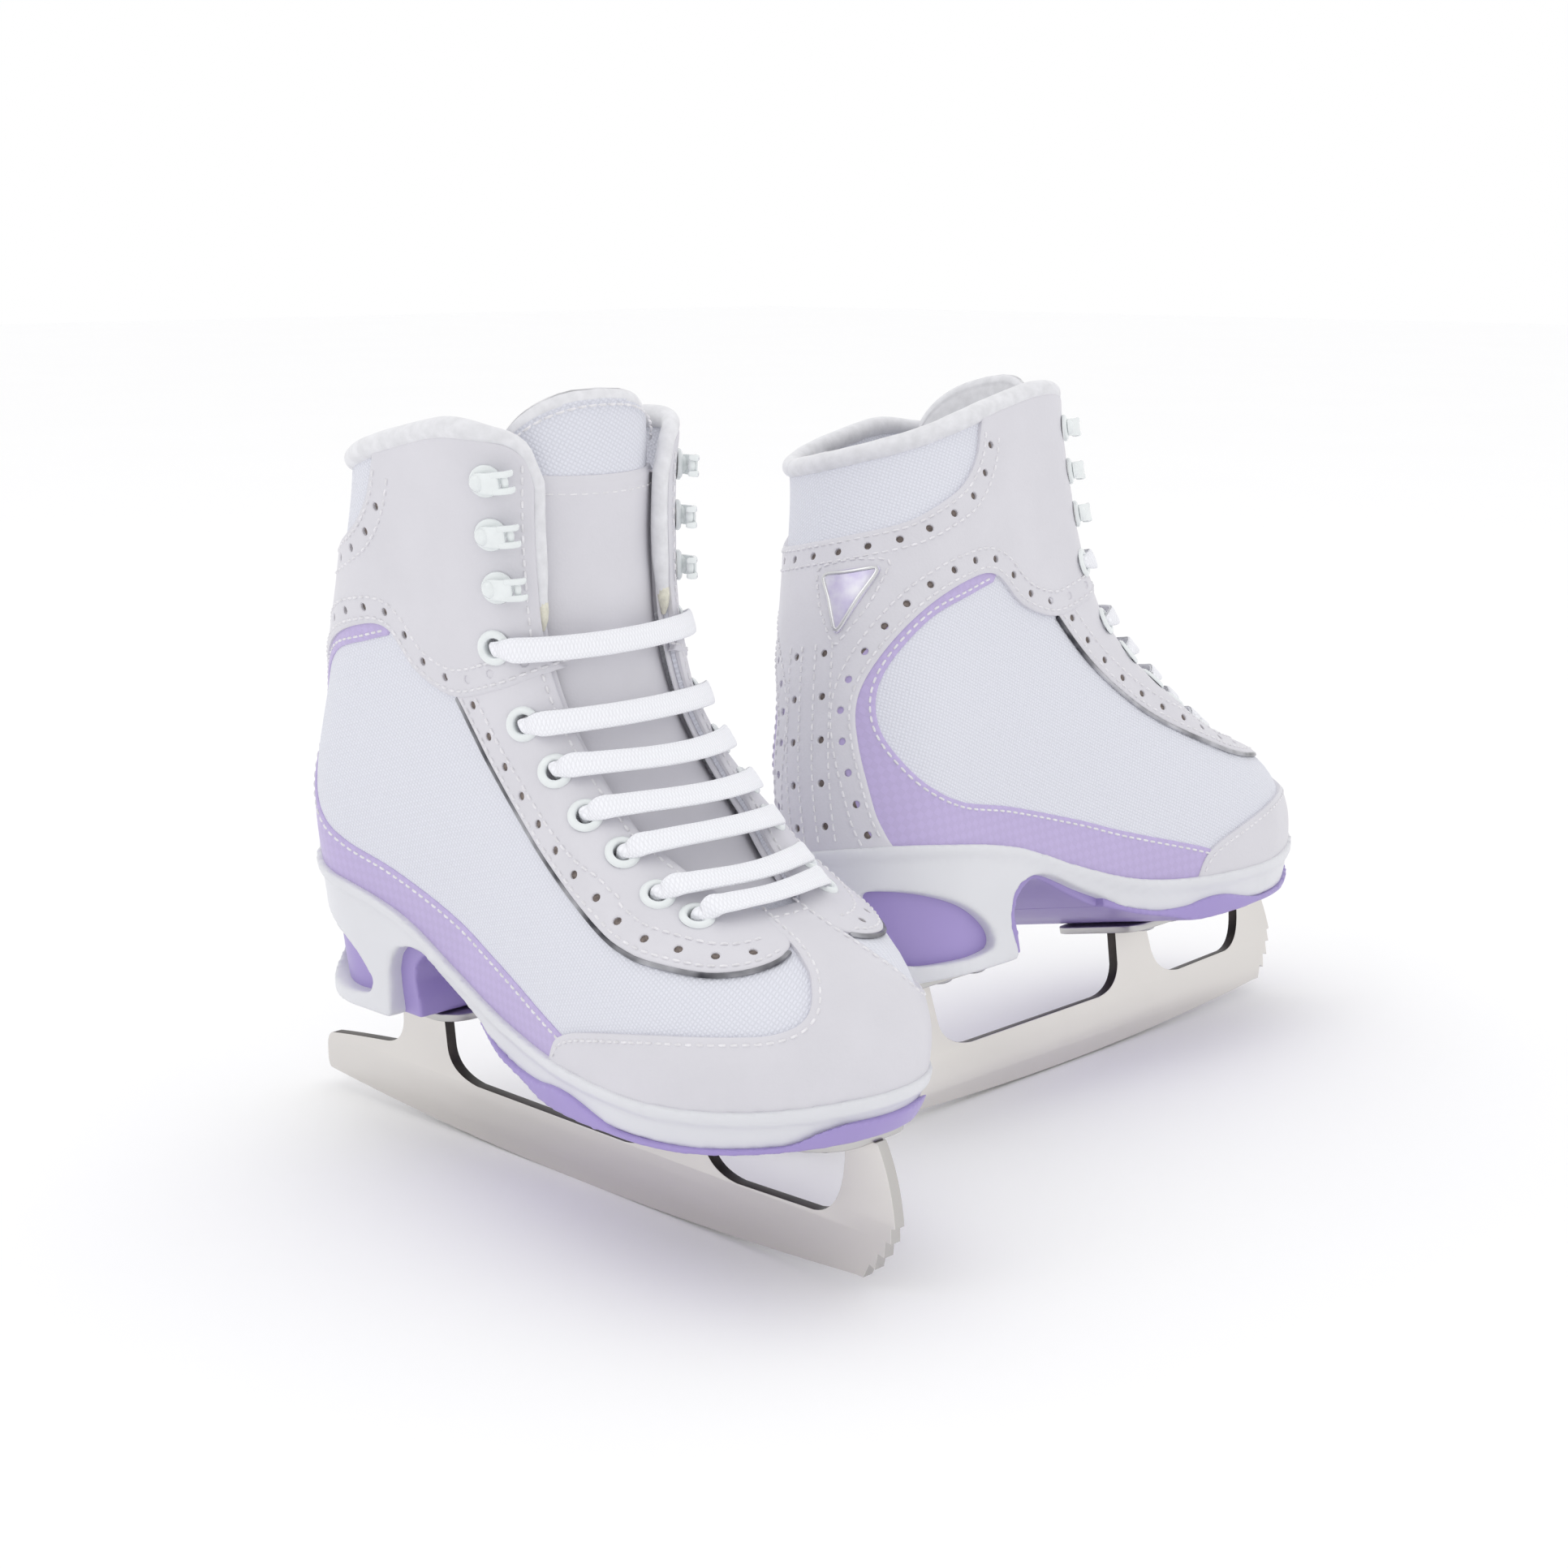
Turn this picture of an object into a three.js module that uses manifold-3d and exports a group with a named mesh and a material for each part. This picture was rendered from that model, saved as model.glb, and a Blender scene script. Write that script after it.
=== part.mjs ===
// A pair of women's figure skates: leather-trimmed woven boots on nickel steel blades.
// Millimetres, +Z up. One skate is built in its own frame and then placed twice,
// the right one mirrored. Skate frame: +X toe, +Y outer side of the left foot,
// z = 0 where the runner touches the ice, x = 0 midway along the two blade windows.
import * as THREE from 'three';
import { ParametricGeometry } from 'three/addons/geometries/ParametricGeometry.js';
import { mergeVertices } from 'three/addons/utils/BufferGeometryUtils.js';
import Module from 'manifold-3d';

const wasm = await Module();
wasm.setup();

// ---------- driving dimensions ----------
const CLEARANCE = 0.3;           // running gap between neighbouring pieces
const RUNNER_THICKNESS = 4.0;
const RUNNER_HEIGHT = 18.6;      // ice to the sill of the windows
const ROCKER_RADIUS = 1500;
const ROCKER_X = -25;            // where the rocker touches the ice
const TAIL_X = -158;
const NOSE_X = 108;
const HEEL_PLATE_Z = 45.2;       // underside of the heel plate
const TOE_PLATE_Z = 41.0;        // underside of the toe plate
const PLATE_THICKNESS = 2.5;
const HEEL_POST = { rear: -113, front: -92 };
const MID_POST = { rear: 12, front: 30 };
const NOSE_POST_REAR = 89;
const UPPER_THICKNESS = 1.8;
const LINING_THICKNESS = 2.4;
const TRIM_THICKNESS = 1.2;      // leather laid over the woven upper
const BOARD_THICKNESS = 2.0;
const FOOTBED_THICKNESS = 3.2;
const LINING_SETBACK = 18;       // the padding stops this far behind the throat's edge
const WELT = 2.0;                // the outsole stands proud of the upper by this
const TREAD_THICKNESS = 3.4;
const COLLAR_ROLL_RADIUS = 3.6;
const TONGUE_THICKNESS = 6.0;
const TONGUE_COVER_THICKNESS = 1.4;
const TONGUE_TOP = 246;
const LACE_DIAMETER = 3.2;
const EYELET_HOLE = 6.0;
const HOOK_BASE_RADIUS = 4.6;
const SCREW_HEAD_RADIUS = 4.0;
const SCREW_SHANK_RADIUS = 2.0;
const SCREW_LENGTH = 11;
const LEAN = 0.06;               // inward lean of the cuff, per millimetre of height
const LEAN_START = 80;
const TOE_INSET = 4;             // the toe tip lies this far towards the inner side
const SHELL_LOOP = 20;           // facets around the boot
const SHELL_LEVELS = 13;         // facets up the boot
const ACROSS = 80;               // cutters reach this far to each side of the skate
const PAIR = { rightX: 13, rightY: 220.3, rightRoll: -12.3 };

// layers of the boot wall, as distances out from the woven upper's outer face
const TRIM_OUT = CLEARANCE + TRIM_THICKNESS;
const UPPER_IN = -UPPER_THICKNESS;
const LINING_OUT = UPPER_IN - CLEARANCE;
const LINING_IN = LINING_OUT - LINING_THICKNESS;

// ---------- small helpers ----------
const clamp01 = (t) => Math.min(1, Math.max(0, t));
const smooth = (t) => clamp01(t) ** 2 * (3 - 2 * clamp01(t));

// a smooth function through [input, output] pairs
function through(pairs) {
  const slope = pairs.map((_, i) => {
    const a = pairs[Math.max(0, i - 1)];
    const b = pairs[Math.min(pairs.length - 1, i + 1)];
    return (b[1] - a[1]) / (b[0] - a[0]);
  });
  return (t) => {
    let i = 0;
    while (i < pairs.length - 2 && t > pairs[i + 1][0]) i += 1;
    const [t0, p0] = pairs[i];
    const [t1, p1] = pairs[i + 1];
    const h = t1 - t0;
    const s = Math.min(1.2, Math.max(-0.2, (t - t0) / h));
    return p0 * (1 + 2 * s) * (1 - s) ** 2 + slope[i] * h * s * (1 - s) ** 2
      + p1 * s * s * (3 - 2 * s) + slope[i + 1] * h * s * s * (s - 1);
  };
}

// a closed mesh as a solid, with vertices joined and empty triangles dropped
function solid(geometry) {
  const flat = geometry.index ? geometry.toNonIndexed() : geometry;
  const bare = new THREE.BufferGeometry();
  bare.setAttribute('position', flat.getAttribute('position').clone());
  const joined = mergeVertices(bare, 1e-4);
  const index = joined.getIndex().array;
  const kept = [];
  for (let i = 0; i < index.length; i += 3) {
    const [a, b, c] = [index[i], index[i + 1], index[i + 2]];
    if (a !== b && b !== c && a !== c) kept.push(a, b, c);
  }
  const mesh = new wasm.Mesh({
    numProp: 3,
    vertProperties: new Float32Array(joined.getAttribute('position').array),
    triVerts: new Uint32Array(kept),
  });
  const body = new wasm.Manifold(mesh);
  return body.volume() < 0 ? solid(turned(geometry)) : body;
}

// the same surface with its triangles facing the other way
function turned(geometry) {
  const copy = (geometry.index ? geometry.toNonIndexed() : geometry).clone();
  const p = copy.getAttribute('position');
  const [v, w] = [new THREE.Vector3(), new THREE.Vector3()];
  for (let i = 0; i < p.count; i += 3) {
    v.fromBufferAttribute(p, i + 1);
    w.fromBufferAttribute(p, i + 2);
    p.setXYZ(i + 1, w.x, w.y, w.z);
    p.setXYZ(i + 2, v.x, v.y, v.z);
  }
  return copy;
}

function toGeometry(body) {
  const mesh = body.getMesh();
  const geometry = new THREE.BufferGeometry();
  const position = new Float32Array(mesh.vertProperties);
  geometry.setAttribute('position', new THREE.BufferAttribute(position, 3));
  geometry.setIndex(new THREE.BufferAttribute(new Uint32Array(mesh.triVerts), 1));
  return geometry;
}

// a side-view outline (x, z) swept across the skate from y0 to y1
function acrossY(shape, y0, y1, segments = 6) {
  const options = { depth: y1 - y0, bevelEnabled: false, curveSegments: segments };
  const geometry = new THREE.ExtrudeGeometry(shape, options);
  geometry.rotateX(Math.PI / 2);
  geometry.translate(0, y1, 0);
  return solid(geometry);
}

// a plan outline (x, y) swept up from z0 to z1
function upZ(shape, z0, z1, segments = 6) {
  const options = { depth: z1 - z0, bevelEnabled: false, curveSegments: segments };
  const geometry = new THREE.ExtrudeGeometry(shape, options);
  geometry.translate(0, 0, z0);
  return solid(geometry);
}

function polygon(points) {
  return new THREE.Shape(points.map(([a, b]) => new THREE.Vector2(a, b)));
}

function cylinderZ(radius, z0, z1, x, y, sides = 16) {
  const geometry = new THREE.CylinderGeometry(radius, radius, z1 - z0, sides);
  geometry.rotateX(Math.PI / 2);
  geometry.translate(x, y, (z0 + z1) / 2);
  return solid(geometry);
}

// ---------- the boot surface ----------
const heelLine = through([[46, -127], [60, -129.5], [84, -131.5], [100, -132], [120, -129],
  [140, -123], [160, -116], [180, -108], [200, -100], [218, -94], [250, -88]]);
const frontLine = through([[46, 100], [53, 105], [60, 108], [70, 109], [78, 107], [86, 102],
  [92, 95], [97, 86], [101, 76], [105, 65], [110, 54], [118, 42], [128, 31], [140, 20],
  [155, 10], [175, 3.5], [195, 2], [215, 3], [250, 8]]);
const planWidth = through([[-135, 30], [-105, 31.5], [-70, 32], [-40, 34], [-10, 39], [20, 45],
  [45, 46.5], [75, 45], [110, 43]]);
const cuffWidth = through([[100, 37], [120, 36], [150, 34.5], [175, 35.5], [200, 37.5], [250, 39.5]]);
const noseRound = through([[46, 60], [80, 57], [95, 48], [105, 36], [113, 27], [122, 21], [150, 20],
  [250, 24]]);
const heelRound = through([[46, 30], [100, 31], [150, 33], [250, 38]]);
const soleTaper = through([[44, 0.93], [60, 0.97], [74, 1.0], [250, 1.0]]);
const featherLine = through([[-140, 96.5], [-123, 94.5], [-105, 91.5], [-85, 88], [-68, 83.5],
  [-43, 73], [-17, 64], [10, 59.5], [50, 58], [85, 60.5], [112, 65]]);
const collarLine = through([[-100, 226], [-80, 229], [-60, 234], [-40, 238.5], [-22, 241.5],
  [-8, 240.5], [12, 234]]);

const footToCuff = (z) => smooth((z - 78) / 62);
const midline = (x, z) => -LEAN * Math.max(0, z - LEAN_START)
  - TOE_INSET * smooth((x - 20) / 80) * (1 - footToCuff(z));
const rounding = (t) => Math.sqrt(1 - (1 - clamp01(t)) ** 2);

// half width of the boot at a place along it and a height
function halfWidth(x, z) {
  const k = footToCuff(z);
  const full = (planWidth(x) * (1 - k) + cuffWidth(z) * k) * soleTaper(z);
  return full * rounding((frontLine(z) - x) / noseRound(z))
    * rounding((x - heelLine(z)) / heelRound(z));
}

// turn runs from 0 at the back, through +1/-1 at the front: positive is the outer side
function bootPoint(turn, z, target) {
  const share = (1 - Math.cos(Math.PI * Math.abs(turn))) / 2;
  const x = heelLine(z) + (frontLine(z) - heelLine(z)) * share;
  return target.set(x, midline(x, z) + Math.sign(turn) * halfWidth(x, z), z);
}

const wrapTurn = (turn) => (turn > 1 ? turn - 2 : turn < -1 ? turn + 2 : turn);

function bootNormal(turn, z, target) {
  const step = 0.004;
  const along = bootPoint(wrapTurn(turn + step), z, new THREE.Vector3());
  along.sub(bootPoint(wrapTurn(turn - step), z, new THREE.Vector3()));
  const up = bootPoint(turn, z + 0.4, new THREE.Vector3());
  up.sub(bootPoint(turn, z - 0.4, new THREE.Vector3()));
  return target.crossVectors(up, along).normalize();
}

function offsetPoint(turn, z, distance, target) {
  const normal = new THREE.Vector3();
  bootNormal(turn, z, normal);
  bootPoint(turn, z, target);
  return target.addScaledVector(normal, distance);
}

// ring height spacing follows the toe dome and the instep more closely
const levelHeight = through([[0, 46], [0.2, 66], [0.42, 92], [0.58, 106], [0.72, 130], [0.86, 180],
  [1, 252]]);

// evenly spaced steps, drawn closer together at the heel and at the toe
const gathered = (t) => t - (0.7 * Math.sin(2 * Math.PI * t)) / (2 * Math.PI);

// the whole boot form, swollen or shrunk by a distance, closed at both ends
function bootForm(distance, loop = SHELL_LOOP, levels = SHELL_LEVELS) {
  const shape = (u, v, target) => {
    const turn = u < 0.5 ? gathered(2 * u) : -gathered(2 - 2 * u);
    const level = clamp01((v * (levels + 2) - 1) / levels);
    const z = levelHeight(level);
    const inside = v === 0 || v === 1;
    if (inside) {
      target.set(-60, midline(-60, z), z + (v === 0 ? -1 : 1));
      return;
    }
    const around = Math.abs(turn) < 1e-9 ? 1e-9 : turn;
    offsetPoint(around, z, distance, target);
  };
  return solid(new ParametricGeometry(shape, loop, levels + 2));
}

const forms = new Map();
function form(distance) {
  const key = distance.toFixed(3);
  if (!forms.has(key)) forms.set(key, bootForm(distance));
  return forms.get(key);
}

// the wall of the boot between two distances from its outer face
const wall = (inner, outer) => form(outer).subtract(form(inner));

// everything between two side-view curves, from x0 to x1
function between(lower, upper, x0 = -150, x1 = 130, steps = 12) {
  const points = [];
  for (let i = 0; i <= steps; i += 1) {
    const x = x0 + ((x1 - x0) * i) / steps;
    points.push([x, lower(x)]);
  }
  for (let i = steps; i >= 0; i -= 1) {
    const x = x0 + ((x1 - x0) * i) / steps;
    points.push([x, upper(x)]);
  }
  return acrossY(polygon(points), -ACROSS, ACROSS);
}

// an outline with every side moved outward by a distance
function grown(points, distance) {
  const place = points.map(([a, b]) => new THREE.Vector2(a, b));
  const outward = THREE.ShapeUtils.area(place) > 0 ? 1 : -1;
  const sideNormal = (a, b) => new THREE.Vector2(b.y - a.y, a.x - b.x).normalize();
  return place.map((p, i) => {
    const before = place[(i + place.length - 1) % place.length];
    const after = place[(i + 1) % place.length];
    const [m, n] = [sideNormal(before, p), sideNormal(p, after)];
    const miter = m.clone().add(n).normalize();
    const reach = (outward * distance) / Math.max(0.5, miter.dot(m));
    return [p.x + miter.x * reach, p.y + miter.y * reach];
  });
}

// a smooth closed side-view outline through hand-set points
function rounded(points, divisions = 2) {
  const curve = new THREE.CatmullRomCurve3(points.map(([x, z]) => new THREE.Vector3(x, z, 0)), true);
  return polygon(curve.getPoints(points.length * divisions).slice(0, -1).map((p) => [p.x, p.y]));
}

// ---------- the throat, where the boot opens for the tongue and the lace ----------
const THROAT = { bottom: 103.5, halfBottom: 16, halfMiddle: 22, halfTop: 25.5, top: 260 };
function throatSlot(extra) {
  const lean = (z) => midline(0, z);
  const rows = [[THROAT.bottom - extra, 0.35, 0], [THROAT.bottom + 3 - extra, THROAT.halfBottom - 4, extra],
    [THROAT.bottom + 9, THROAT.halfBottom, extra], [125, THROAT.halfMiddle, extra],
    [170, 24.5, extra], [THROAT.top, THROAT.halfTop, extra]];
  const right = rows.map(([z, half, more]) => [lean(z) + half + more, z]);
  const left = rows.map(([z, half, more]) => [lean(z) - half - more, z]).reverse();
  const options = { depth: 150, bevelEnabled: false };
  const geometry = new THREE.ExtrudeGeometry(polygon([...right, ...left]), options);
  geometry.rotateX(Math.PI / 2);
  geometry.rotateZ(Math.PI / 2);
  geometry.translate(-30, 0, 0);
  return solid(geometry);
}
const throat = throatSlot(0);

// ---------- eyelets and hooks: their places along the facing ----------
const EYELETS = [[-11.8, 175], [-3.3, 153.5], [7.7, 141], [19.2, 129.7], [31.4, 120.5],
  [44.7, 110.6], [56.5, 105.8]];
const HOOKS = [[-9.5, 222.8], [-10.2, 207.6], [-10, 192.5]];

// the turn at which the boot surface at a height reaches a given x
function turnAt(x, z) {
  const share = clamp01((x - heelLine(z)) / (frontLine(z) - heelLine(z)));
  return Math.acos(1 - 2 * share) / Math.PI;
}

function facingPoint([x, z], side, distance) {
  return offsetPoint(side * turnAt(x, z), z, distance, new THREE.Vector3());
}

function facingNormal([x, z], side) {
  return bootNormal(side * turnAt(x, z), z, new THREE.Vector3());
}

// turns a solid made along +Z so that it stands on a point along a direction
function standing(body, point, direction) {
  const turn = new THREE.Quaternion().setFromUnitVectors(new THREE.Vector3(0, 0, 1), direction);
  const matrix = new THREE.Matrix4().compose(point, turn, new THREE.Vector3(1, 1, 1));
  return body.transform(matrix.toArray());
}

function eyeletHoles(side) {
  const punch = cylinderZ(EYELET_HOLE / 2, -9, 6, 0, 0, 6);
  const each = EYELETS.map((place) => standing(punch, facingPoint(place, side, 0), facingNormal(place, side)));
  return wasm.Manifold.union(each);
}
const holes = wasm.Manifold.union([eyeletHoles(1), eyeletHoles(-1)]);

// ---------- side-view outlines of the trim ----------
const TRIM_EDGE = [[-60, 175.5], [-75, 175], [-92, 168.5], [-106.5, 157.5], [-117, 143.5], [-122.5, 126],
  [-124, 108], [-121.5, 93], [-117, 78]];
const BAND_INNER = [[22, 66], [14, 69.5], [-20, 81], [-40, 88.5], [-71, 98], [-95, 103.5], [-108, 110.5],
  [-115, 120.5], [-117, 132], [-113, 145], [-104, 156], [-90, 165.5], [-72, 170.5], [-61, 173.2]];
const bandOutline = [...BAND_INNER, ...TRIM_EDGE, [-60, 50], [8, 50]];
const overlayOutline = [[14, 172], [6, 169], [-12, 162.5], [-31, 158.5], [-48, 163], ...TRIM_EDGE,
  [-145, 78], [-145, 195], [-99, 195], [-90, 196.5], [-80, 200.5], [-69, 206.5], [-61, 215],
  [-57, 224], [-54, 248], [14, 248]];
const EYESTAY_EDGE = [[-30, 157.5], [-19, 143], [-6, 129.5], [8, 118], [25, 108], [42, 99.5], [61, 95],
  [76, 96.5]];
const eyestayOutline = [...EYESTAY_EDGE, [84, 103], [84, 175], [14, 171.5], [6, 168.5], [-12, 162]];
const CAP_SEAM = [[10, 50], [16.3, 66.5], [18, 69], [40, 71], [60, 74], [75, 79], [84, 85], [88, 92],
  [84.3, 98.3], [76, 101], [66, 103]];
const capOutline = [...CAP_SEAM, [66, 112], [125, 112], [125, 50]];
const besideCap = grown(capOutline, 1.5 * CLEARANCE);
const besideOverlay = grown(overlayOutline, 1.2 * CLEARANCE);

// ---------- materials ----------
function finish(color, roughness, metalness) {
  return new THREE.MeshStandardMaterial({ color, roughness, metalness });
}

// ---------- rigid pieces: blade, plates, screws ----------
const rocker = (x) => ROCKER_RADIUS - Math.sqrt(ROCKER_RADIUS ** 2 - (x - ROCKER_X) ** 2);

function bladeOutline() {
  const shape = new THREE.Shape();
  shape.moveTo(TAIL_X, rocker(TAIL_X));
  for (let x = TAIL_X + 18; x < 92; x += 18) shape.lineTo(x, rocker(x));
  shape.lineTo(93, rocker(93));
  // toe pick: the large drag tooth first, then four smaller ones up the nose
  const teeth = [[96.2, 4.6], [98.5, 9.2], [100.6, 8.2], [101.6, 13.2], [104, 12.6], [104.4, 17.6],
    [106.6, 17.4], [106.4, 21.8], [NOSE_X, 22.2]];
  teeth.forEach(([x, z]) => shape.lineTo(x, z));
  shape.quadraticCurveTo(106.5, 34, 101, TOE_PLATE_Z - CLEARANCE);
  shape.lineTo(NOSE_POST_REAR, TOE_PLATE_Z - CLEARANCE);
  const sill = RUNNER_HEIGHT;
  shape.quadraticCurveTo(89.5, sill + 4, 80, sill + 1.2);
  shape.lineTo(46, sill);
  shape.quadraticCurveTo(35, sill + 1, 32, sill + 9);
  shape.lineTo(MID_POST.front, TOE_PLATE_Z - CLEARANCE);
  shape.lineTo(MID_POST.rear, TOE_PLATE_Z - CLEARANCE);
  shape.lineTo(10, sill + 7);
  shape.quadraticCurveTo(7, sill + 1, -2, sill);
  shape.lineTo(-76, sill);
  shape.quadraticCurveTo(-87, sill + 1, -89.5, sill + 9);
  shape.lineTo(HEEL_POST.front, HEEL_PLATE_Z - CLEARANCE);
  shape.lineTo(HEEL_POST.rear, HEEL_PLATE_Z - CLEARANCE);
  shape.lineTo(HEEL_POST.rear - 0.5, 31);
  shape.quadraticCurveTo(-114.5, 24.5, -122, 23.2);
  shape.lineTo(TAIL_X + 4, 19);
  shape.quadraticCurveTo(TAIL_X + 1, 18.6, TAIL_X, 16);
  return shape;
}

const SCREW_PLACES = { toe: { x: 52, y: 11.5 }, heel: { x: -78, y: 11.5 } };
const HEEL_PLATE = { x0: -124, x1: -66, halfWidth: 19 };
const TOE_PLATE = { x0: 2, x1: 100, halfWidth: 19.5 };

function plateOutline({ x0, x1, halfWidth: half }, nose) {
  const shape = new THREE.Shape();
  const r = 8;
  shape.moveTo(x0 + r, -half);
  shape.lineTo(x1 - nose, -half);
  shape.quadraticCurveTo(x1, -half, x1, -half * 0.35);
  shape.lineTo(x1, half * 0.35);
  shape.quadraticCurveTo(x1, half, x1 - nose, half);
  shape.lineTo(x0 + r, half);
  shape.quadraticCurveTo(x0, half, x0, half - r);
  shape.lineTo(x0, -half + r);
  shape.quadraticCurveTo(x0, -half, x0 + r, -half);
  return shape;
}

function screw(x, y, plateZ) {
  const head = cylinderZ(SCREW_HEAD_RADIUS, plateZ - CLEARANCE - 1.8, plateZ - CLEARANCE, x, y, 8);
  const shank = cylinderZ(SCREW_SHANK_RADIUS, plateZ - CLEARANCE - 0.5, plateZ + SCREW_LENGTH, x, y, 6);
  return head.add(shank);
}

function screwHole(x, y, plateZ) {
  return cylinderZ(SCREW_SHANK_RADIUS + CLEARANCE, plateZ - 5, plateZ + SCREW_LENGTH + 1, x, y, 6);
}

const screws = [];
for (const [side, name] of [[1, 'outer'], [-1, 'inner']]) {
  const { toe, heel } = SCREW_PLACES;
  screws.push({ name: `toe_screw_${name}`, x: toe.x, y: side * toe.y, z: TOE_PLATE_Z });
  screws.push({ name: `heel_screw_${name}`, x: heel.x, y: side * heel.y, z: HEEL_PLATE_Z });
}
const screwHoles = wasm.Manifold.union(screws.map(({ x, y, z }) => screwHole(x, y, z)));

// ---------- soles ----------
const HEEL_BASE = HEEL_PLATE_Z + PLATE_THICKNESS + CLEARANCE;
const SOLE_BASE = TOE_PLATE_Z + PLATE_THICKNESS + CLEARANCE;
const HEEL_BREAST = -74;
// heights in the heel block are drawn for a block 35.5 mm tall, and follow its real top and base
const HEEL_TOP = 83.5;
const DRAWN_BASE = 48;
const inHeel = (z) => HEEL_BASE + ((z - DRAWN_BASE) * (HEEL_TOP - HEEL_BASE)) / (HEEL_TOP - DRAWN_BASE);
const heelOutline = (points) => rounded(points.map(([x, z]) => [x, inHeel(z)]), 2);
const soleBottom = through([[-66, 74], [-58, 72.5], [-40, 63.5], [-20, 55], [-4, 50.5],
  [8, SOLE_BASE + TREAD_THICKNESS], [40, SOLE_BASE + TREAD_THICKNESS], [70, SOLE_BASE + TREAD_THICKNESS + 0.8],
  [100, 52.5], [125, 58]]);
const treadBottom = (x) => soleBottom(x) - TREAD_THICKNESS;

function outsoleProfile() {
  const points = [[-140, HEEL_BASE], [HEEL_BREAST - 6, HEEL_BASE],
    [HEEL_BREAST - 4, inHeel(54)], [HEEL_BREAST - 4, inHeel(63)], [HEEL_BREAST, inHeel(71)]];
  for (let x = -66; x <= 124; x += 19) points.push([x, soleBottom(x)]);
  points.push([124, 100], [-140, 100]);
  return polygon(points);
}

const recess = heelOutline([[-118, 54], [-104, 52.5], [-92, 53.5], [-84, 58], [-86, 68], [-97, 74.5],
  [-112, 76], [-121, 75], [-122.5, 64]]);

function outsoleBody() {
  const block = form(WELT).intersect(acrossY(outsoleProfile(), -ACROSS, ACROSS));
  const seat = between((x) => featherLine(x) - CLEARANCE, () => 260);
  return block.subtract(seat).subtract(acrossY(recess, -ACROSS, ACROSS)).subtract(screwHoles);
}

function heelCore() {
  const outline = heelOutline([[-117.4, 54.6], [-104, 53.2], [-92.4, 54.2], [-85, 58.4], [-86.8, 67.6],
    [-97.3, 73.9], [-112, 75.3], [-120.4, 74.4], [-121.8, 64]]);
  return form(-2.5).intersect(acrossY(outline, -ACROSS, ACROSS)).subtract(screwHoles);
}

function treadBody() {
  const lower = (x) => treadBottom(x);
  const upper = (x) => soleBottom(x) - CLEARANCE;
  return form(WELT).intersect(between(lower, upper, -34, 122, 16)).subtract(screwHoles);
}

// ---------- boot walls ----------
const aboveFeather = between(featherLine, () => 260);
const wallTop = (x) => collarLine(x) - 2 * COLLAR_ROLL_RADIUS - 3 * CLEARANCE;
const belowCollar = between(() => 30, wallTop);
const shaftRegion = aboveFeather.intersect(belowCollar).subtract(throat);

function upperBody() {
  return wall(UPPER_IN, 0).intersect(shaftRegion).subtract(holes);
}

function liningBody() {
  const lift = (x) => featherLine(x) + BOARD_THICKNESS + CLEARANCE;
  const region = between(lift, () => 260).intersect(belowCollar).subtract(throatSlot(LINING_SETBACK));
  return wall(LINING_IN, LINING_OUT).intersect(region);
}

function boardBody() {
  const upper = (x) => featherLine(x) + BOARD_THICKNESS;
  return form(LINING_OUT).intersect(between(featherLine, upper)).subtract(screwHoles);
}

function footbedBody() {
  const lower = (x) => featherLine(x) + BOARD_THICKNESS + CLEARANCE;
  const upper = (x) => featherLine(x) + BOARD_THICKNESS + CLEARANCE + FOOTBED_THICKNESS;
  return form(LINING_IN - CLEARANCE).intersect(between(lower, upper));
}

const trim = wall(CLEARANCE, TRIM_OUT).intersect(shaftRegion).subtract(holes);
const outerHalf = (shape) => acrossY(shape, -TOE_INSET, ACROSS);
const innerHalf = (shape) => acrossY(shape, -ACROSS, -TOE_INSET);

// the padded roll that finishes the collar, from one side of the throat round the back
function collarRoll() {
  const end = 0.995 - rollGap();
  const points = [];
  const count = 16;
  for (let i = 0; i <= count; i += 1) {
    const turn = -end + (2 * end * i) / count;
    const around = Math.abs(turn) < 1e-6 ? 1e-6 : turn;
    const place = bootPoint(around, 225, new THREE.Vector3());
    const z = collarLine(place.x) - COLLAR_ROLL_RADIUS;
    points.push(offsetPoint(around, z, (TRIM_OUT + LINING_IN) / 2, new THREE.Vector3()));
  }
  return tube(points, COLLAR_ROLL_RADIUS, 8);
}

// how much of the turn the throat takes at the top of the cuff
function rollGap() {
  let turn = 1;
  const place = new THREE.Vector3();
  while (turn > 0.5) {
    bootPoint(turn, 228, place);
    if (place.y - midline(place.x, 228) > THROAT.halfTop + 1) break;
    turn -= 0.005;
  }
  return 0.995 - turn;
}

// a route that passes exactly through its points, with straight runs between them
class Route extends THREE.Curve {
  constructor(points) {
    super();
    this.points = points;
  }

  getPoint(t, target = new THREE.Vector3()) {
    const place = clamp01(t) * (this.points.length - 1);
    const i = Math.min(this.points.length - 2, Math.floor(place + 1e-9));
    return target.lerpVectors(this.points[i], this.points[i + 1], place - i);
  }

  getPointAt(u, target) {
    return this.getPoint(u, target);
  }

  getTangentAt(u, target = new THREE.Vector3()) {
    const half = 0.5 / (this.points.length - 1);
    const behind = this.getPoint(u - half);
    return target.copy(this.getPoint(u + half)).sub(behind).normalize();
  }
}

function tube(points, radius, sides) {
  const section = new THREE.Shape();
  for (let i = 0; i < sides; i += 1) {
    const angle = (2 * Math.PI * i) / sides;
    const [a, b] = [radius * Math.cos(angle), radius * Math.sin(angle)];
    if (i === 0) section.moveTo(a, b);
    else section.lineTo(a, b);
  }
  const options = { steps: points.length - 1, extrudePath: new Route(points), bevelEnabled: false };
  return solid(new THREE.ExtrudeGeometry(section, options));
}

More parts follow.
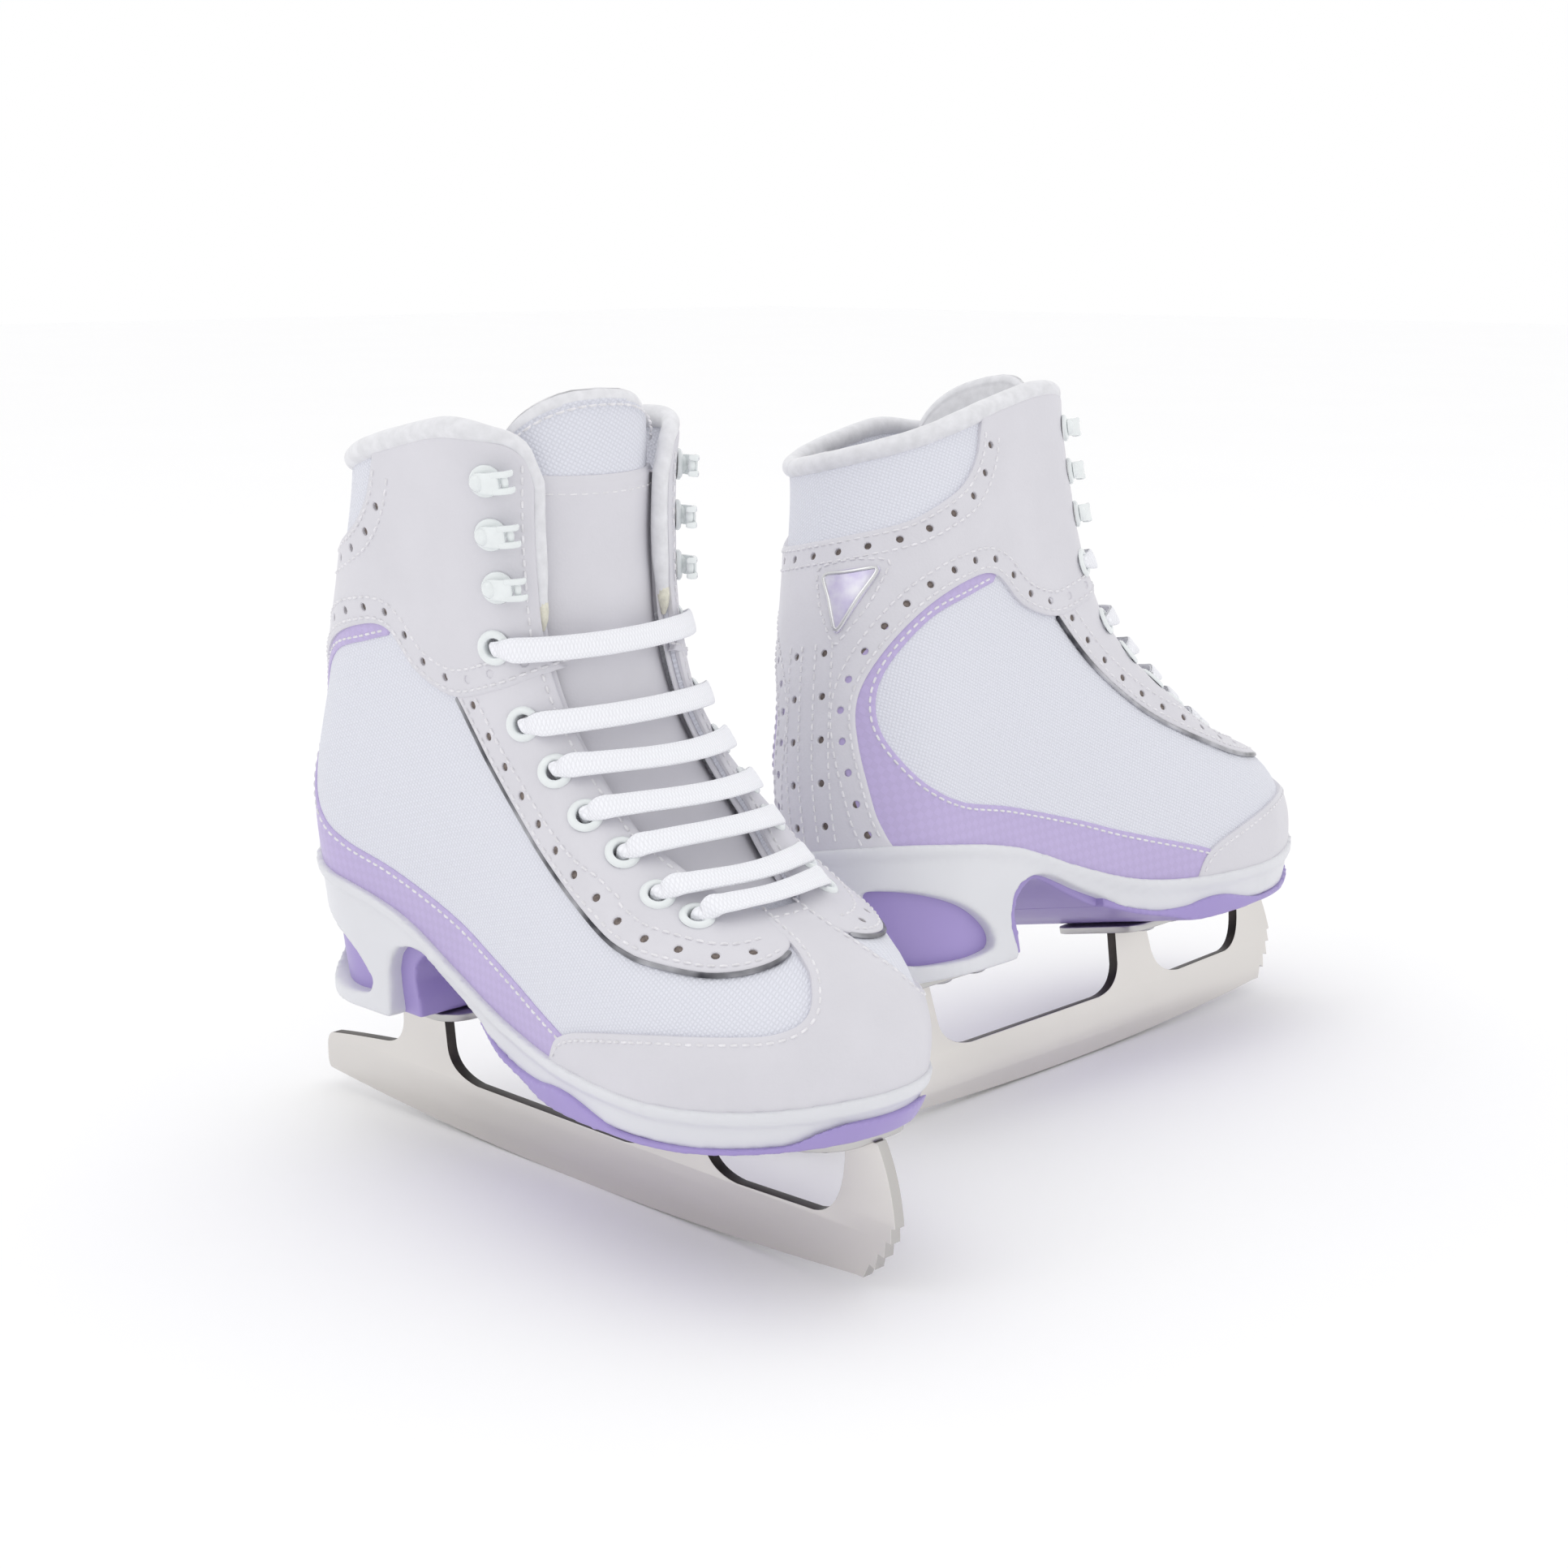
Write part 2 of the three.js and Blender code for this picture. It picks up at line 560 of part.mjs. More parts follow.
// ---------- tongue ----------
const TONGUE_ROOT = 101.5;
const tongueSpread = through([[101, 0.05], [106, 0.075], [112, 0.09], [125, 0.12], [150, 0.15],
  [175, 0.165], [230, 0.18], [240, 0.15], [246, 0.08]]);

function tongueFace(across, z) {
  const free = smooth((z - 104) / 12);
  const rootFace = UPPER_IN - 2 * CLEARANCE;
  return rootFace * (1 - free) + (-7.2 + 2.6 * (1 - across * across)) * free;
}
const tongueDepth = (z) => 3 + (TONGUE_THICKNESS - 3) * smooth((z - 104) / 14);

// a padded strip that follows the inside of the throat between two distances from its face
function strip(z0, z1, spread, outer, inner, slices, stacks) {
  const shape = (u, v, target) => {
    const level = clamp01((v * stacks - 1) / (stacks - 2));
    const z = z0 + (z1 - z0) * level;
    const capped = v === 0 || v === 1;
    const half = slices / 2;
    const step = Math.round(u * slices) % slices;
    const faceUp = step < half;
    const along = (2 * (step % half)) / (half - 1) - 1;
    const across = capped ? 0 : faceUp ? along : -along;
    const turn = (across < 0 ? -1 : 1) * (1 - Math.abs(across) * spread * tongueSpread(z));
    const [front, back] = [tongueFace(across, z) + outer(z), tongueFace(across, z) + inner(z)];
    const distance = capped ? (front + back) / 2 : faceUp ? front : back;
    offsetPoint(turn, z, distance, target);
  };
  return solid(new ParametricGeometry(shape, slices, stacks));
}

const TONGUE_FACETS = [12, 14];
const tongueBody = () => strip(TONGUE_ROOT, TONGUE_TOP, 1, () => 0, (z) => -tongueDepth(z), ...TONGUE_FACETS);
const COVER_RANGE = [112, 222];
function tongueCoverBody() {
  const outer = () => CLEARANCE + TONGUE_COVER_THICKNESS;
  const skin = strip(TONGUE_ROOT, TONGUE_TOP, 1, outer, () => -1, ...TONGUE_FACETS);
  const kept = strip(TONGUE_ROOT, TONGUE_TOP, 1.04, () => CLEARANCE, (z) => -tongueDepth(z), ...TONGUE_FACETS);
  return skin.subtract(kept).intersect(between(() => COVER_RANGE[0], () => COVER_RANGE[1], -60, 80, 1));
}

// ---------- lace ----------
// straight bars across the throat, joined by short runs inside the facing
const LACE_OVER = TRIM_OUT + 1.2 + LACE_DIAMETER / 2;
const LACE_UNDER = UPPER_IN - 1.8 - LACE_DIAMETER / 2;
const LACE_BOW = 2.2;            // the bars stand this much higher over the throat

function laceBody() {
  const points = [];
  const tuck = new THREE.Vector3(-6, 0, 9);
  EYELETS.forEach(([x, z], i) => {
    const from = i % 2 === 0 ? -1 : 1;
    const reach = 1 - turnAt(x, z);
    if (i === 0) points.push(facingPoint([x, z], from, LACE_UNDER).add(tuck));
    points.push(facingPoint([x, z], from, LACE_UNDER));
    for (const across of [-1, -0.75, -0.35, 0, 0.35, 0.75, 1]) {
      const side = across < 0 ? from : -from;
      const turn = side * (1 - Math.abs(across) * reach);
      const height = Math.abs(across) === 1 ? LACE_OVER : LACE_OVER + LACE_BOW;
      points.push(offsetPoint(turn, z, height, new THREE.Vector3()));
    }
    points.push(facingPoint([x, z], -from, LACE_UNDER));
    if (i === EYELETS.length - 1) points.push(facingPoint([x - 7, z + 3], -from, LACE_UNDER));
  });
  return tube(points, LACE_DIAMETER / 2, 8);
}

// ---------- lacing hooks ----------
const HOOK_SEAT = TRIM_OUT + CLEARANCE;
function hookBody(place, side) {
  const base = cylinderZ(HOOK_BASE_RADIUS, -2, 1.2, 0, 0, 8);
  const stem = cylinderZ(2.0, 0.6, 4.2, -0.5, 0, 6);
  const arm = upZ(polygon([[-2.6, -2.2], [6.4, -2.2], [6.4, 2.2], [-2.6, 2.2]]), 3.6, 4.9);
  const lip = upZ(polygon([[4.8, -2.9], [6.4, -2.9], [6.4, 2.9], [4.8, 2.9]]), 2.2, 4.4);
  const body = base.add(stem).add(arm).add(lip);
  const normal = facingNormal(place, side);
  const forward = new THREE.Vector3(1, 0, 0).addScaledVector(normal, -normal.x).normalize();
  const across = new THREE.Vector3().crossVectors(normal, forward);
  const matrix = new THREE.Matrix4().makeBasis(forward, across, normal);
  matrix.setPosition(facingPoint(place, side, HOOK_SEAT));
  // the base is hollowed to the curve of the leather it is riveted to
  return body.transform(matrix.toArray()).subtract(form(HOOK_SEAT));
}

// ---------- one skate ----------
const WOVEN = finish(0xe9e8f2, 0.85, 0);
const LEATHER = finish(0xe0dee3, 0.5, 0);
const LILAC = finish(0xb5a3d8, 0.5, 0);
const LILAC_SOLE = finish(0xa996d0, 0.45, 0);
const SOLE_WHITE = finish(0xe6e6ea, 0.4, 0);
const FLEECE = finish(0xf0eff2, 0.95, 0);
const COTTON = finish(0xf4f4f6, 0.9, 0);
const STEEL = finish(0xbebab5, 0.3, 1);
const PLATE_STEEL = finish(0xb0aeab, 0.35, 1);
const ENAMEL = finish(0xeef1f0, 0.25, 0.1);
const BOARD = finish(0xb9a98c, 0.9, 0);

const pieces = new Map();
const add = (name, body, material) => pieces.set(name, { body, material });

add('blade', acrossY(bladeOutline(), -RUNNER_THICKNESS / 2, RUNNER_THICKNESS / 2, 4), STEEL);
const toePlate = upZ(plateOutline(TOE_PLATE, 30), TOE_PLATE_Z, TOE_PLATE_Z + PLATE_THICKNESS, 4);
const heelPlate = upZ(plateOutline(HEEL_PLATE, 10), HEEL_PLATE_Z, HEEL_PLATE_Z + PLATE_THICKNESS, 4);
add('toe_plate', toePlate.subtract(screwHoles), PLATE_STEEL);
add('heel_plate', heelPlate.subtract(screwHoles), PLATE_STEEL);
for (const { name, x, y, z } of screws) add(name, screw(x, y, z), STEEL);
add('outsole', outsoleBody(), SOLE_WHITE);
add('heel_core', heelCore(), LILAC_SOLE);
add('tread', treadBody(), LILAC_SOLE);
add('insole_board', boardBody(), BOARD);
add('footbed', footbedBody(), FLEECE);
add('upper', upperBody(), WOVEN);
add('lining', liningBody(), FLEECE);
add('collar_roll', collarRoll(), FLEECE);
add('ankle_overlay', trim.intersect(acrossY(polygon(overlayOutline), -ACROSS, ACROSS)), LEATHER);
add('toe_cap', trim.intersect(acrossY(polygon(capOutline), -ACROSS, ACROSS)), LEATHER);
const band = polygon(bandOutline);
const eyestay = polygon(eyestayOutline);
const sideTrim = trim.subtract(acrossY(polygon(besideCap), -ACROSS, ACROSS))
  .subtract(acrossY(polygon(besideOverlay), -ACROSS, ACROSS));
add('band_outer', sideTrim.intersect(outerHalf(band)), LILAC);
add('band_inner', sideTrim.intersect(innerHalf(band)), LILAC);
add('eyestay_outer', sideTrim.intersect(outerHalf(eyestay)), LEATHER);
add('eyestay_inner', sideTrim.intersect(innerHalf(eyestay)), LEATHER);
add('tongue', tongueBody(), WOVEN);
add('tongue_cover', tongueCoverBody(), LEATHER);
add('lace', laceBody(), COTTON);
HOOKS.forEach((place, i) => {
  add(`hook_outer_${i + 1}`, hookBody(place, 1), ENAMEL);
  add(`hook_inner_${i + 1}`, hookBody(place, -1), ENAMEL);
});

// ---------- the pair ----------
function skate(prefix) {
  const group = new THREE.Group();
  for (const [name, { body, material }] of pieces) {
    const mesh = new THREE.Mesh(toGeometry(body), material.clone());
    mesh.name = `${prefix}_${name}`;
    group.add(mesh);
  }
  return group;
}

const left = skate('left');
const right = skate('right');
right.scale.y = -1;
const rolled = new THREE.Group();
rolled.rotation.x = THREE.MathUtils.degToRad(PAIR.rightRoll);
rolled.add(right);
const placed = new THREE.Group();
placed.rotation.z = Math.PI / 2;
const lift = (RUNNER_THICKNESS / 2) * Math.sin(THREE.MathUtils.degToRad(Math.abs(PAIR.rightRoll)));
placed.position.set(PAIR.rightX, PAIR.rightY, lift);
placed.add(rolled);

const pair = new THREE.Group();
pair.add(left, placed);
pair.updateMatrixWorld(true);
const bounds = new THREE.Box3().setFromObject(pair, true);
const middle = bounds.getCenter(new THREE.Vector3());
pair.position.set(-middle.x, -middle.y, -bounds.min.z);

const skates = new THREE.Group();
skates.add(pair);
export default skates;
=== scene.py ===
# %% [markdown]
# # A pair of women's figure skates
# Two lace-up ankle boots on steel runners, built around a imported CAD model.
# Sizes below are millimetres in the frame of one skate: x towards the toe, y towards
# the outer side of the left foot, z up from the ice. Every piece is made once and then
# placed twice, and the right one is mirrored, as a shoemaker's patterns are.

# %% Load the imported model
import math

import bmesh
import bpy
import numpy as np
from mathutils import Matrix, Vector
from mathutils.geometry import delaunay_2d_cdt


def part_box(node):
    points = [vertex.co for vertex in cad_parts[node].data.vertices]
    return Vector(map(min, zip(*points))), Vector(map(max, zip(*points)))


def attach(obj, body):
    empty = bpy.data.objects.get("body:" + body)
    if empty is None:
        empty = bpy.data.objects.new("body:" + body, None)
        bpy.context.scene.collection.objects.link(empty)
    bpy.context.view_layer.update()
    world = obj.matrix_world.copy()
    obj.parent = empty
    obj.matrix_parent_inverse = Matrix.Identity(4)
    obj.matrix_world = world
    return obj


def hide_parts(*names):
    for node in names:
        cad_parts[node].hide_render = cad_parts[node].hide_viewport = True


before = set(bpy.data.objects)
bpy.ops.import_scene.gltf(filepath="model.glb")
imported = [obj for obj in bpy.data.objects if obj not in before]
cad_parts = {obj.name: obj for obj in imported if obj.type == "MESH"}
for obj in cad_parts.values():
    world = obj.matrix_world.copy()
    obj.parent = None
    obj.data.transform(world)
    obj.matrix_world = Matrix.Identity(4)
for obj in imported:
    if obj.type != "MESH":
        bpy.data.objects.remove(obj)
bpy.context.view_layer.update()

print("nodes in the frame:", len(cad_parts))

# %% [markdown]
# The camera comes first, because it fixes how much detail each piece needs. It stands
# in front of the pair, a little above the collars and well back, so the boots keep
# nearly parallel sides.

# %% Camera
MM = 0.001
CAMERA_PLACE = Vector((0.5522, -0.6144, 0.2863))
CAMERA_LOOK = Vector((-0.6838, 0.6975, -0.2144))
LENS, SENSOR, FAR_CLIP = 56.31, 36, 30     # millimetres, millimetres, metres
camera_data = bpy.data.cameras.new("camera")
camera_data.lens = LENS
camera_data.sensor_width = SENSOR
camera_data.clip_end = FAR_CLIP
camera = bpy.data.objects.new("camera", camera_data)
camera.location = CAMERA_PLACE
camera.rotation_euler = CAMERA_LOOK.to_track_quat("-Z", "Y").to_euler()
bpy.context.scene.collection.objects.link(camera)
bpy.context.scene.camera = camera
print("camera lens", camera_data.lens)

# %% [markdown]
# A point in the skate's frame goes to the row frame in one of two ways. The left skate
# only slides. The right one is mirrored, rolled inwards until it leans, and turned so
# that its toe points along +Y.

# %% Place one skate twice
ROLL = math.radians(-12.3)
BLADE_THICKNESS = 4.0
TAIL_X = -158
LOWEST = -0.016         # the runner's curved bottom reaches this far below z = 0
RIGHT_STEP = (13, 220.3)        # from the left skate's origin to the right one's
low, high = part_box("left_blade")
LEFT_ORIGIN = np.array([low.x / MM - TAIL_X, (low.y + high.y) / 2 / MM, LOWEST])
RIGHT_ORIGIN = LEFT_ORIGIN + [*RIGHT_STEP, BLADE_THICKNESS / 2 * math.sin(abs(ROLL))]


def to_row(points, side):
    p = np.asarray(points, float).reshape(-1, 3)
    if side == "left":
        return (LEFT_ORIGIN + p) * MM
    y, z = -p[:, 1], p[:, 2]
    rolled_y = y * math.cos(ROLL) - z * math.sin(ROLL)
    rolled_z = y * math.sin(ROLL) + z * math.cos(ROLL)
    return (RIGHT_ORIGIN + np.column_stack([-rolled_y, p[:, 0], rolled_z])) * MM


print("left skate's origin, mm:", LEFT_ORIGIN.round(2))

# %% [markdown]
# ## Materials
# Each finish is a small node tree. A helper holds the parts they share: a noise that
# varies the colour a little, and a height that becomes a bump. Values that are the same
# all over are set on the shader itself.

# %% Material helpers
class Finish:
    """One material, with short ways to add and join its nodes."""

    def __init__(self, name, color, rough, metal=0.0, **sockets):
        self.material = bpy.data.materials.new(name)
        self.material.use_nodes = True
        self.tree = self.material.node_tree
        self.shader = self.tree.nodes["Principled BSDF"]
        self.color = color
        self.set("Base Color", (*color, 1))
        self.set("Roughness", rough)
        self.set("Metallic", metal)
        for key, value in sockets.items():
            self.set(key.replace("_", " "), value)
        self.height = None

    def set(self, key, value):
        self.shader.inputs[key].default_value = value

    def node(self, kind, values=(), **props):
        node = self.tree.nodes.new(kind)
        for key, value in props.items():
            setattr(node, key, value)
        for key, value in dict(values).items():
            node.inputs[key].default_value = value
        return node

    def link(self, a, b):
        self.tree.links.new(a, b)

    def math(self, operation, a, b=None, c=None):
        node = self.node("ShaderNodeMath", operation=operation)
        for i, value in enumerate((a, b, c)):
            if value is None:
                continue
            if isinstance(value, (int, float)):
                node.inputs[i].default_value = value
            else:
                self.link(value, node.inputs[i])
        return node.outputs[0]

    def space(self, stretch=(1, 1, 1), turn=0.0, kind="Object"):
        place = self.node("ShaderNodeTexCoord")
        mapping = self.node("ShaderNodeMapping")
        mapping.inputs["Scale"].default_value = stretch
        mapping.inputs["Rotation"].default_value = (0, 0, turn)
        self.link(place.outputs[kind], mapping.inputs["Vector"])
        return mapping.outputs["Vector"]

    def noise(self, scale, detail=3.0, where=None, rough=0.5):
        node = self.node("ShaderNodeTexNoise",
                         {"Scale": scale, "Detail": detail, "Roughness": rough})
        self.link(where or self.space(), node.inputs["Vector"])
        return node.outputs["Fac"]

    def tint(self, factor, dark, light=1.0, low=0.3, high=0.7):
        """Base colour runs from dark times the colour to light times it, by a factor."""
        ramp = self.node("ShaderNodeMapRange", {"From Min": low, "From Max": high})
        self.link(factor, ramp.inputs["Value"])
        mix = self.node("ShaderNodeMix", data_type="RGBA")
        shade = dark if hasattr(dark, "__len__") else [c * dark for c in self.color]
        mix.inputs[6].default_value = (*shade, 1)
        mix.inputs[7].default_value = (*[min(1, c * light) for c in self.color], 1)
        self.link(ramp.outputs["Result"], mix.inputs["Factor"])
        self.link(mix.outputs[2], self.shader.inputs["Base Color"])
        return mix.outputs[2]

    def gloss(self, factor, low, high):
        ramp = self.node("ShaderNodeMapRange", {"To Min": low, "To Max": high})
        self.link(factor, ramp.inputs["Value"])
        self.link(ramp.outputs["Result"], self.shader.inputs["Roughness"])

    def raise_by(self, factor, millimetres):
        part = self.math("MULTIPLY", factor, millimetres * MM)
        self.height = part if self.height is None else self.math("ADD", self.height, part)

    def done(self, strength=1.0):
        if self.height is not None:
            bump = self.node("ShaderNodeBump", {"Strength": strength, "Distance": 1.0})
            self.link(self.height, bump.inputs["Height"])
            self.link(bump.outputs["Normal"], self.shader.inputs["Normal"])
        return self.material


print("finish helper ready")

# %% [markdown]
# Cloth, leather and rubber get their character at well under a millimetre. The canvas
# is a plain weave: two sine waves multiplied give crossing threads that rise in turn.
# Leather is a fine cell pattern, and the lilac trim carries an embossed checker. Piece
# coordinates (UV, one unit for 10 mm) keep a weave straight along the boot's wall.

# %% Woven, leather and fleece finishes
UV_UNIT = 10.0          # millimetres to one unit of a piece's coordinates
CANVAS_PITCH, LACE_PITCH, CHECK_SIZE = 1.15, 0.8, 2.3
BIAS, DIAGONAL = 0.5, 0.785     # how far a weave is turned, in radians


def weave(finish, pitch, turn, depth):
    split = finish.node("ShaderNodeSeparateXYZ")
    finish.link(finish.space((UV_UNIT / pitch,) * 3, turn, "UV"), split.inputs[0])
    u = finish.math("SINE", finish.math("MULTIPLY", split.outputs[0], math.pi))
    v = finish.math("SINE", finish.math("MULTIPLY", split.outputs[1], math.pi))
    threads = finish.math("ABSOLUTE", finish.math("MULTIPLY", u, v))
    over = finish.math("MULTIPLY_ADD", finish.math("MULTIPLY", u, v), 0.5, 0.5)
    finish.raise_by(threads, depth)
    finish.raise_by(over, depth * 0.6)
    return finish.math("MULTIPLY_ADD", threads, 0.6, finish.math("MULTIPLY", over, 0.4))


canvas = Finish("woven_canvas", (0.745, 0.755, 0.825), 0.8, Sheen_Weight=0.25, Sheen_Roughness=0.4)
canvas.tint(weave(canvas, CANVAS_PITCH, BIAS, 0.16), 0.86, 1.04, 0.05, 0.6)
canvas.raise_by(canvas.noise(900), 0.05)
canvas = canvas.done(0.9)


def grained(name, color, rough, cell=1300, depth=0.05, **sockets):
    finish = Finish(name, color, rough, **sockets)
    cells = finish.node("ShaderNodeTexVoronoi", {"Scale": cell, "Randomness": 1.0},
                        feature="SMOOTH_F1")
    finish.link(finish.space(), cells.inputs["Vector"])
    finish.raise_by(cells.outputs["Distance"], depth)
    finish.raise_by(finish.noise(260, 5), depth * 1.6)
    finish.raise_by(finish.noise(45, 2), depth * 3.0)
    finish.tint(finish.noise(38, 4), 0.965, 1.02)
    finish.gloss(finish.noise(420, 3), rough - 0.07, rough + 0.09)
    return finish


leather = grained("white_leather", (0.675, 0.665, 0.71), 0.42,
                  Coat_Weight=0.08, Coat_Roughness=0.35).done(0.8)
lilac = grained("lilac_trim", (0.50, 0.42, 0.68), 0.42, 1500, 0.03,
                Coat_Weight=0.1, Coat_Roughness=0.3)
squares = lilac.node("ShaderNodeTexChecker", {"Scale": 1.0})
lilac.link(lilac.space((UV_UNIT / CHECK_SIZE,) * 3, DIAGONAL, "UV"), squares.inputs["Vector"])
cloudy = lilac.math("MULTIPLY", lilac.noise(45), 0.9)
checked = lilac.math("MULTIPLY_ADD", squares.outputs["Fac"], 0.45, cloudy)
lilac.tint(checked, 0.955, 1.05, 0.2, 1.1)
lilac.raise_by(squares.outputs["Fac"], 0.035)
lilac = lilac.done(0.7)

fleece = Finish("brushed_fleece", (0.77, 0.77, 0.80), 0.95, Sheen_Weight=0.5, Sheen_Roughness=0.5)
fleece.raise_by(fleece.noise(1100, 6, rough=0.7), 0.25)
fleece.raise_by(fleece.noise(160, 3), 0.2)
fleece.tint(fleece.noise(300, 5), 0.9, 1.03)
fleece = fleece.done(0.3)

foam = Finish("raw_foam", (0.78, 0.76, 0.65), 0.95)
foam.raise_by(foam.noise(1600, 3), 0.4)
foam.tint(foam.noise(700, 3), 0.85, 1.05)
foam = foam.done(0.6)

cotton = Finish("flat_lace_cotton", (0.90, 0.905, 0.95), 0.85, Sheen_Weight=0.35, Sheen_Roughness=0.4)
cotton.tint(weave(cotton, LACE_PITCH, DIAGONAL, 0.14), 0.86, 1.03, 0.05, 0.6)
cotton.raise_by(cotton.noise(1100, 4), 0.08)
cotton = cotton.done(0.9)

thread = Finish("stitching_thread", (0.80, 0.79, 0.82), 0.6, Sheen_Weight=0.2)
thread.raise_by(thread.noise(2600, 2), 0.06)
thread.tint(thread.noise(500, 2), 0.85, 1.05)
thread = thread.done(0.8)
print("soft finishes:", [m.name for m in (canvas, leather, lilac, fleece, foam, cotton, thread)])

# %% [markdown]
# The hard finishes: satin ground steel with fine lines along the runner, the dark
# burnt faces inside its windows, nickel plates and screws, white enamel, and the two
# rubbers of the sole.

# %% Metal, enamel and rubber finishes
def ground(name, color, rough, along=(0.9, 30, 30), **sockets):
    finish = Finish(name, color, rough, 1.0, **sockets)
    lines = finish.noise(6.0, 4, finish.space(along, 0, "UV"), 0.6)
    finish.gloss(lines, rough - 0.07, rough + 0.1)
    finish.tint(finish.noise(9, 3), 0.93, 1.03)
    finish.raise_by(lines, 0.012)
    finish.raise_by(finish.noise(70, 2), 0.03)
    return finish.done(0.5)


steel = ground("satin_steel", (0.74, 0.715, 0.69), 0.36)
edge_steel = ground("ground_edge", (0.52, 0.505, 0.49), 0.3, (30, 0.9, 30))
plate_steel = ground("nickel_plate", (0.55, 0.54, 0.53), 0.3)
screw_steel = ground("bright_screw", (0.66, 0.66, 0.67), 0.2, (8, 8, 8))

burnt = Finish("burnt_edge", (0.035, 0.028, 0.024), 0.45, 0.3)
burnt.tint(burnt.noise(120, 3), 0.6, 1.6)
burnt.raise_by(burnt.noise(400, 3), 0.03)
burnt = burnt.done(0.5)

piping = Finish("metallic_piping", (0.33, 0.33, 0.35), 0.28, 0.85)
# painted reflections: the dark and bright patches this noise puts into the grey stand for what the
# metal reflects; the grey itself is the cord's own colour
piping.tint(piping.noise(55, 3), (0.05, 0.05, 0.06), 1.9, 0.35, 0.7)
piping.raise_by(piping.noise(500, 2), 0.08)
piping = piping.done(0.6)

enamel = Finish("white_enamel", (0.80, 0.835, 0.84), 0.22, Coat_Weight=0.5, Coat_Roughness=0.08)
enamel.tint(enamel.noise(240, 2), 0.96, 1.02)
enamel.raise_by(enamel.noise(500, 2), 0.03)
enamel = enamel.done(0.4)


def rubber(name, color, rough):
    finish = Finish(name, color, rough, Coat_Weight=0.12, Coat_Roughness=0.3)
    finish.tint(finish.noise(30, 3), 0.97, 1.02)
    finish.gloss(finish.noise(180, 4), rough - 0.05, rough + 0.08)
    finish.raise_by(finish.noise(1400, 2), 0.012)
    finish.raise_by(finish.noise(60, 2), 0.06)
    return finish.done(0.5)


sole_white = rubber("white_sole_rubber", (0.72, 0.725, 0.76), 0.36)
sole_lilac = rubber("lilac_sole_rubber", (0.36, 0.285, 0.60), 0.4)

# painted shade: this dark colour fills the discs that stand for the shade inside the punched holes
hole_shade_finish = Finish("dark_hole_shade", (0.20, 0.165, 0.15), 0.9)
hole_shade_finish.tint(hole_shade_finish.noise(900, 2), 0.6, 1.3)
hole_shade_finish = hole_shade_finish.done()

board = Finish("fibre_board", (0.42, 0.33, 0.22), 0.9)
board.tint(board.noise(500, 6), 0.8, 1.15)
board.raise_by(board.noise(900, 4), 0.1)
board = board.done(0.6)

pearl = Finish("pearl_badge", (0.62, 0.61, 0.66), 0.25, 0.35, Coat_Weight=0.6, Coat_Roughness=0.1)
pearl.tint(pearl.noise(140, 3), (0.50, 0.45, 0.66), 1.15)
pearl = pearl.done()
print("hard finishes:", [m.name for m in (steel, burnt, plate_steel, enamel, sole_white)])

# %% [markdown]
# ## The last
# A boot is made over a last, a solid foot shape. Here the last is a few smooth curves:
# where the heel and the front lie at each height, and how wide it is along its length.
# A place on it is a turn (0 at the back, +1 or -1 at the front, plus on the outer
# side) and a height, so every pattern piece can be laid on it like paper.

# %% Curves of the last
def through(pairs):
    """A smooth function through (input, output) pairs."""
    t, v = np.array(pairs, float).T
    slope = np.empty_like(v)
    slope[1:-1] = (v[2:] - v[:-2]) / (t[2:] - t[:-2])
    slope[0], slope[-1] = (v[1] - v[0]) / (t[1] - t[0]), (v[-1] - v[-2]) / (t[-1] - t[-2])

    def at(x):
        x = np.asarray(x, float)
        i = np.clip(np.searchsorted(t, x) - 1, 0, len(t) - 2)
        h = t[i + 1] - t[i]
        s = np.clip((x - t[i]) / h, -0.2, 1.2)
        return (v[i] * (1 + 2 * s) * (1 - s) ** 2 + slope[i] * h * s * (1 - s) ** 2
                + v[i + 1] * s * s * (3 - 2 * s) + slope[i + 1] * h * s * s * (s - 1))
    return at


def smooth(t):
    t = np.clip(t, 0, 1)
    return t * t * (3 - 2 * t)


# (height, x) of the back and of the front
heel_line = through([(46, -127), (60, -129.5), (84, -131.5), (100, -132), (120, -129),
                     (140, -123), (160, -116), (180, -108), (200, -100), (218, -94),
                     (250, -88)])
front_line = through([(46, 100), (53, 105), (60, 108), (70, 109), (78, 107), (86, 102),
                      (92, 95), (97, 86), (101, 76), (105, 65), (110, 54), (118, 42), (128, 31),
                      (140, 20), (155, 10), (175, 3.5), (195, 2), (215, 3), (250, 8)])
# (x, half width) of the foot, and (height, half width) of the cuff
plan_width = through([(-135, 30), (-105, 31.5), (-70, 32), (-40, 34), (-10, 39), (20, 45), (45, 46.5),
                      (75, 45), (110, 43)])
cuff_width = through([(100, 37), (120, 36), (150, 34.5), (175, 35.5), (200, 37.5), (250, 39.5)])
# (height, how far from its end the outline is round)
nose_round = through([(46, 60), (80, 57), (95, 48), (105, 36), (113, 27), (122, 21), (150, 20),
                      (250, 24)])
heel_round = through([(46, 30), (100, 31), (150, 33), (250, 38)])
# (height, share of the width), then (x, height) of the sole's top edge and of the collar
sole_taper = through([(44, 0.93), (60, 0.97), (74, 1.0), (250, 1.0)])
feather_line = through([(-140, 96.5), (-123, 94.5), (-105, 91.5), (-85, 88), (-68, 83.5),
                        (-43, 73), (-17, 64), (10, 59.5), (50, 58), (85, 60.5), (112, 65)])
collar_line = through([(-100, 226), (-80, 229), (-60, 234), (-40, 238.5), (-22, 241.5),
                       (-8, 240.5), (12, 234)])
WALL_BELOW_COLLAR = 7.0


def wall_top(x):
    return collar_line(x) - WALL_BELOW_COLLAR


def cuff_share(z):
    """0 in the foot, 1 in the cuff, and smooth between."""
    return smooth((z - 78) / 62)


def midline(x, z):
    """The boot leans inwards up the cuff, and its toe turns inwards a little."""
    return -0.06 * np.maximum(0, z - 80) - 4 * smooth((x - 20) / 80) * (1 - cuff_share(z))


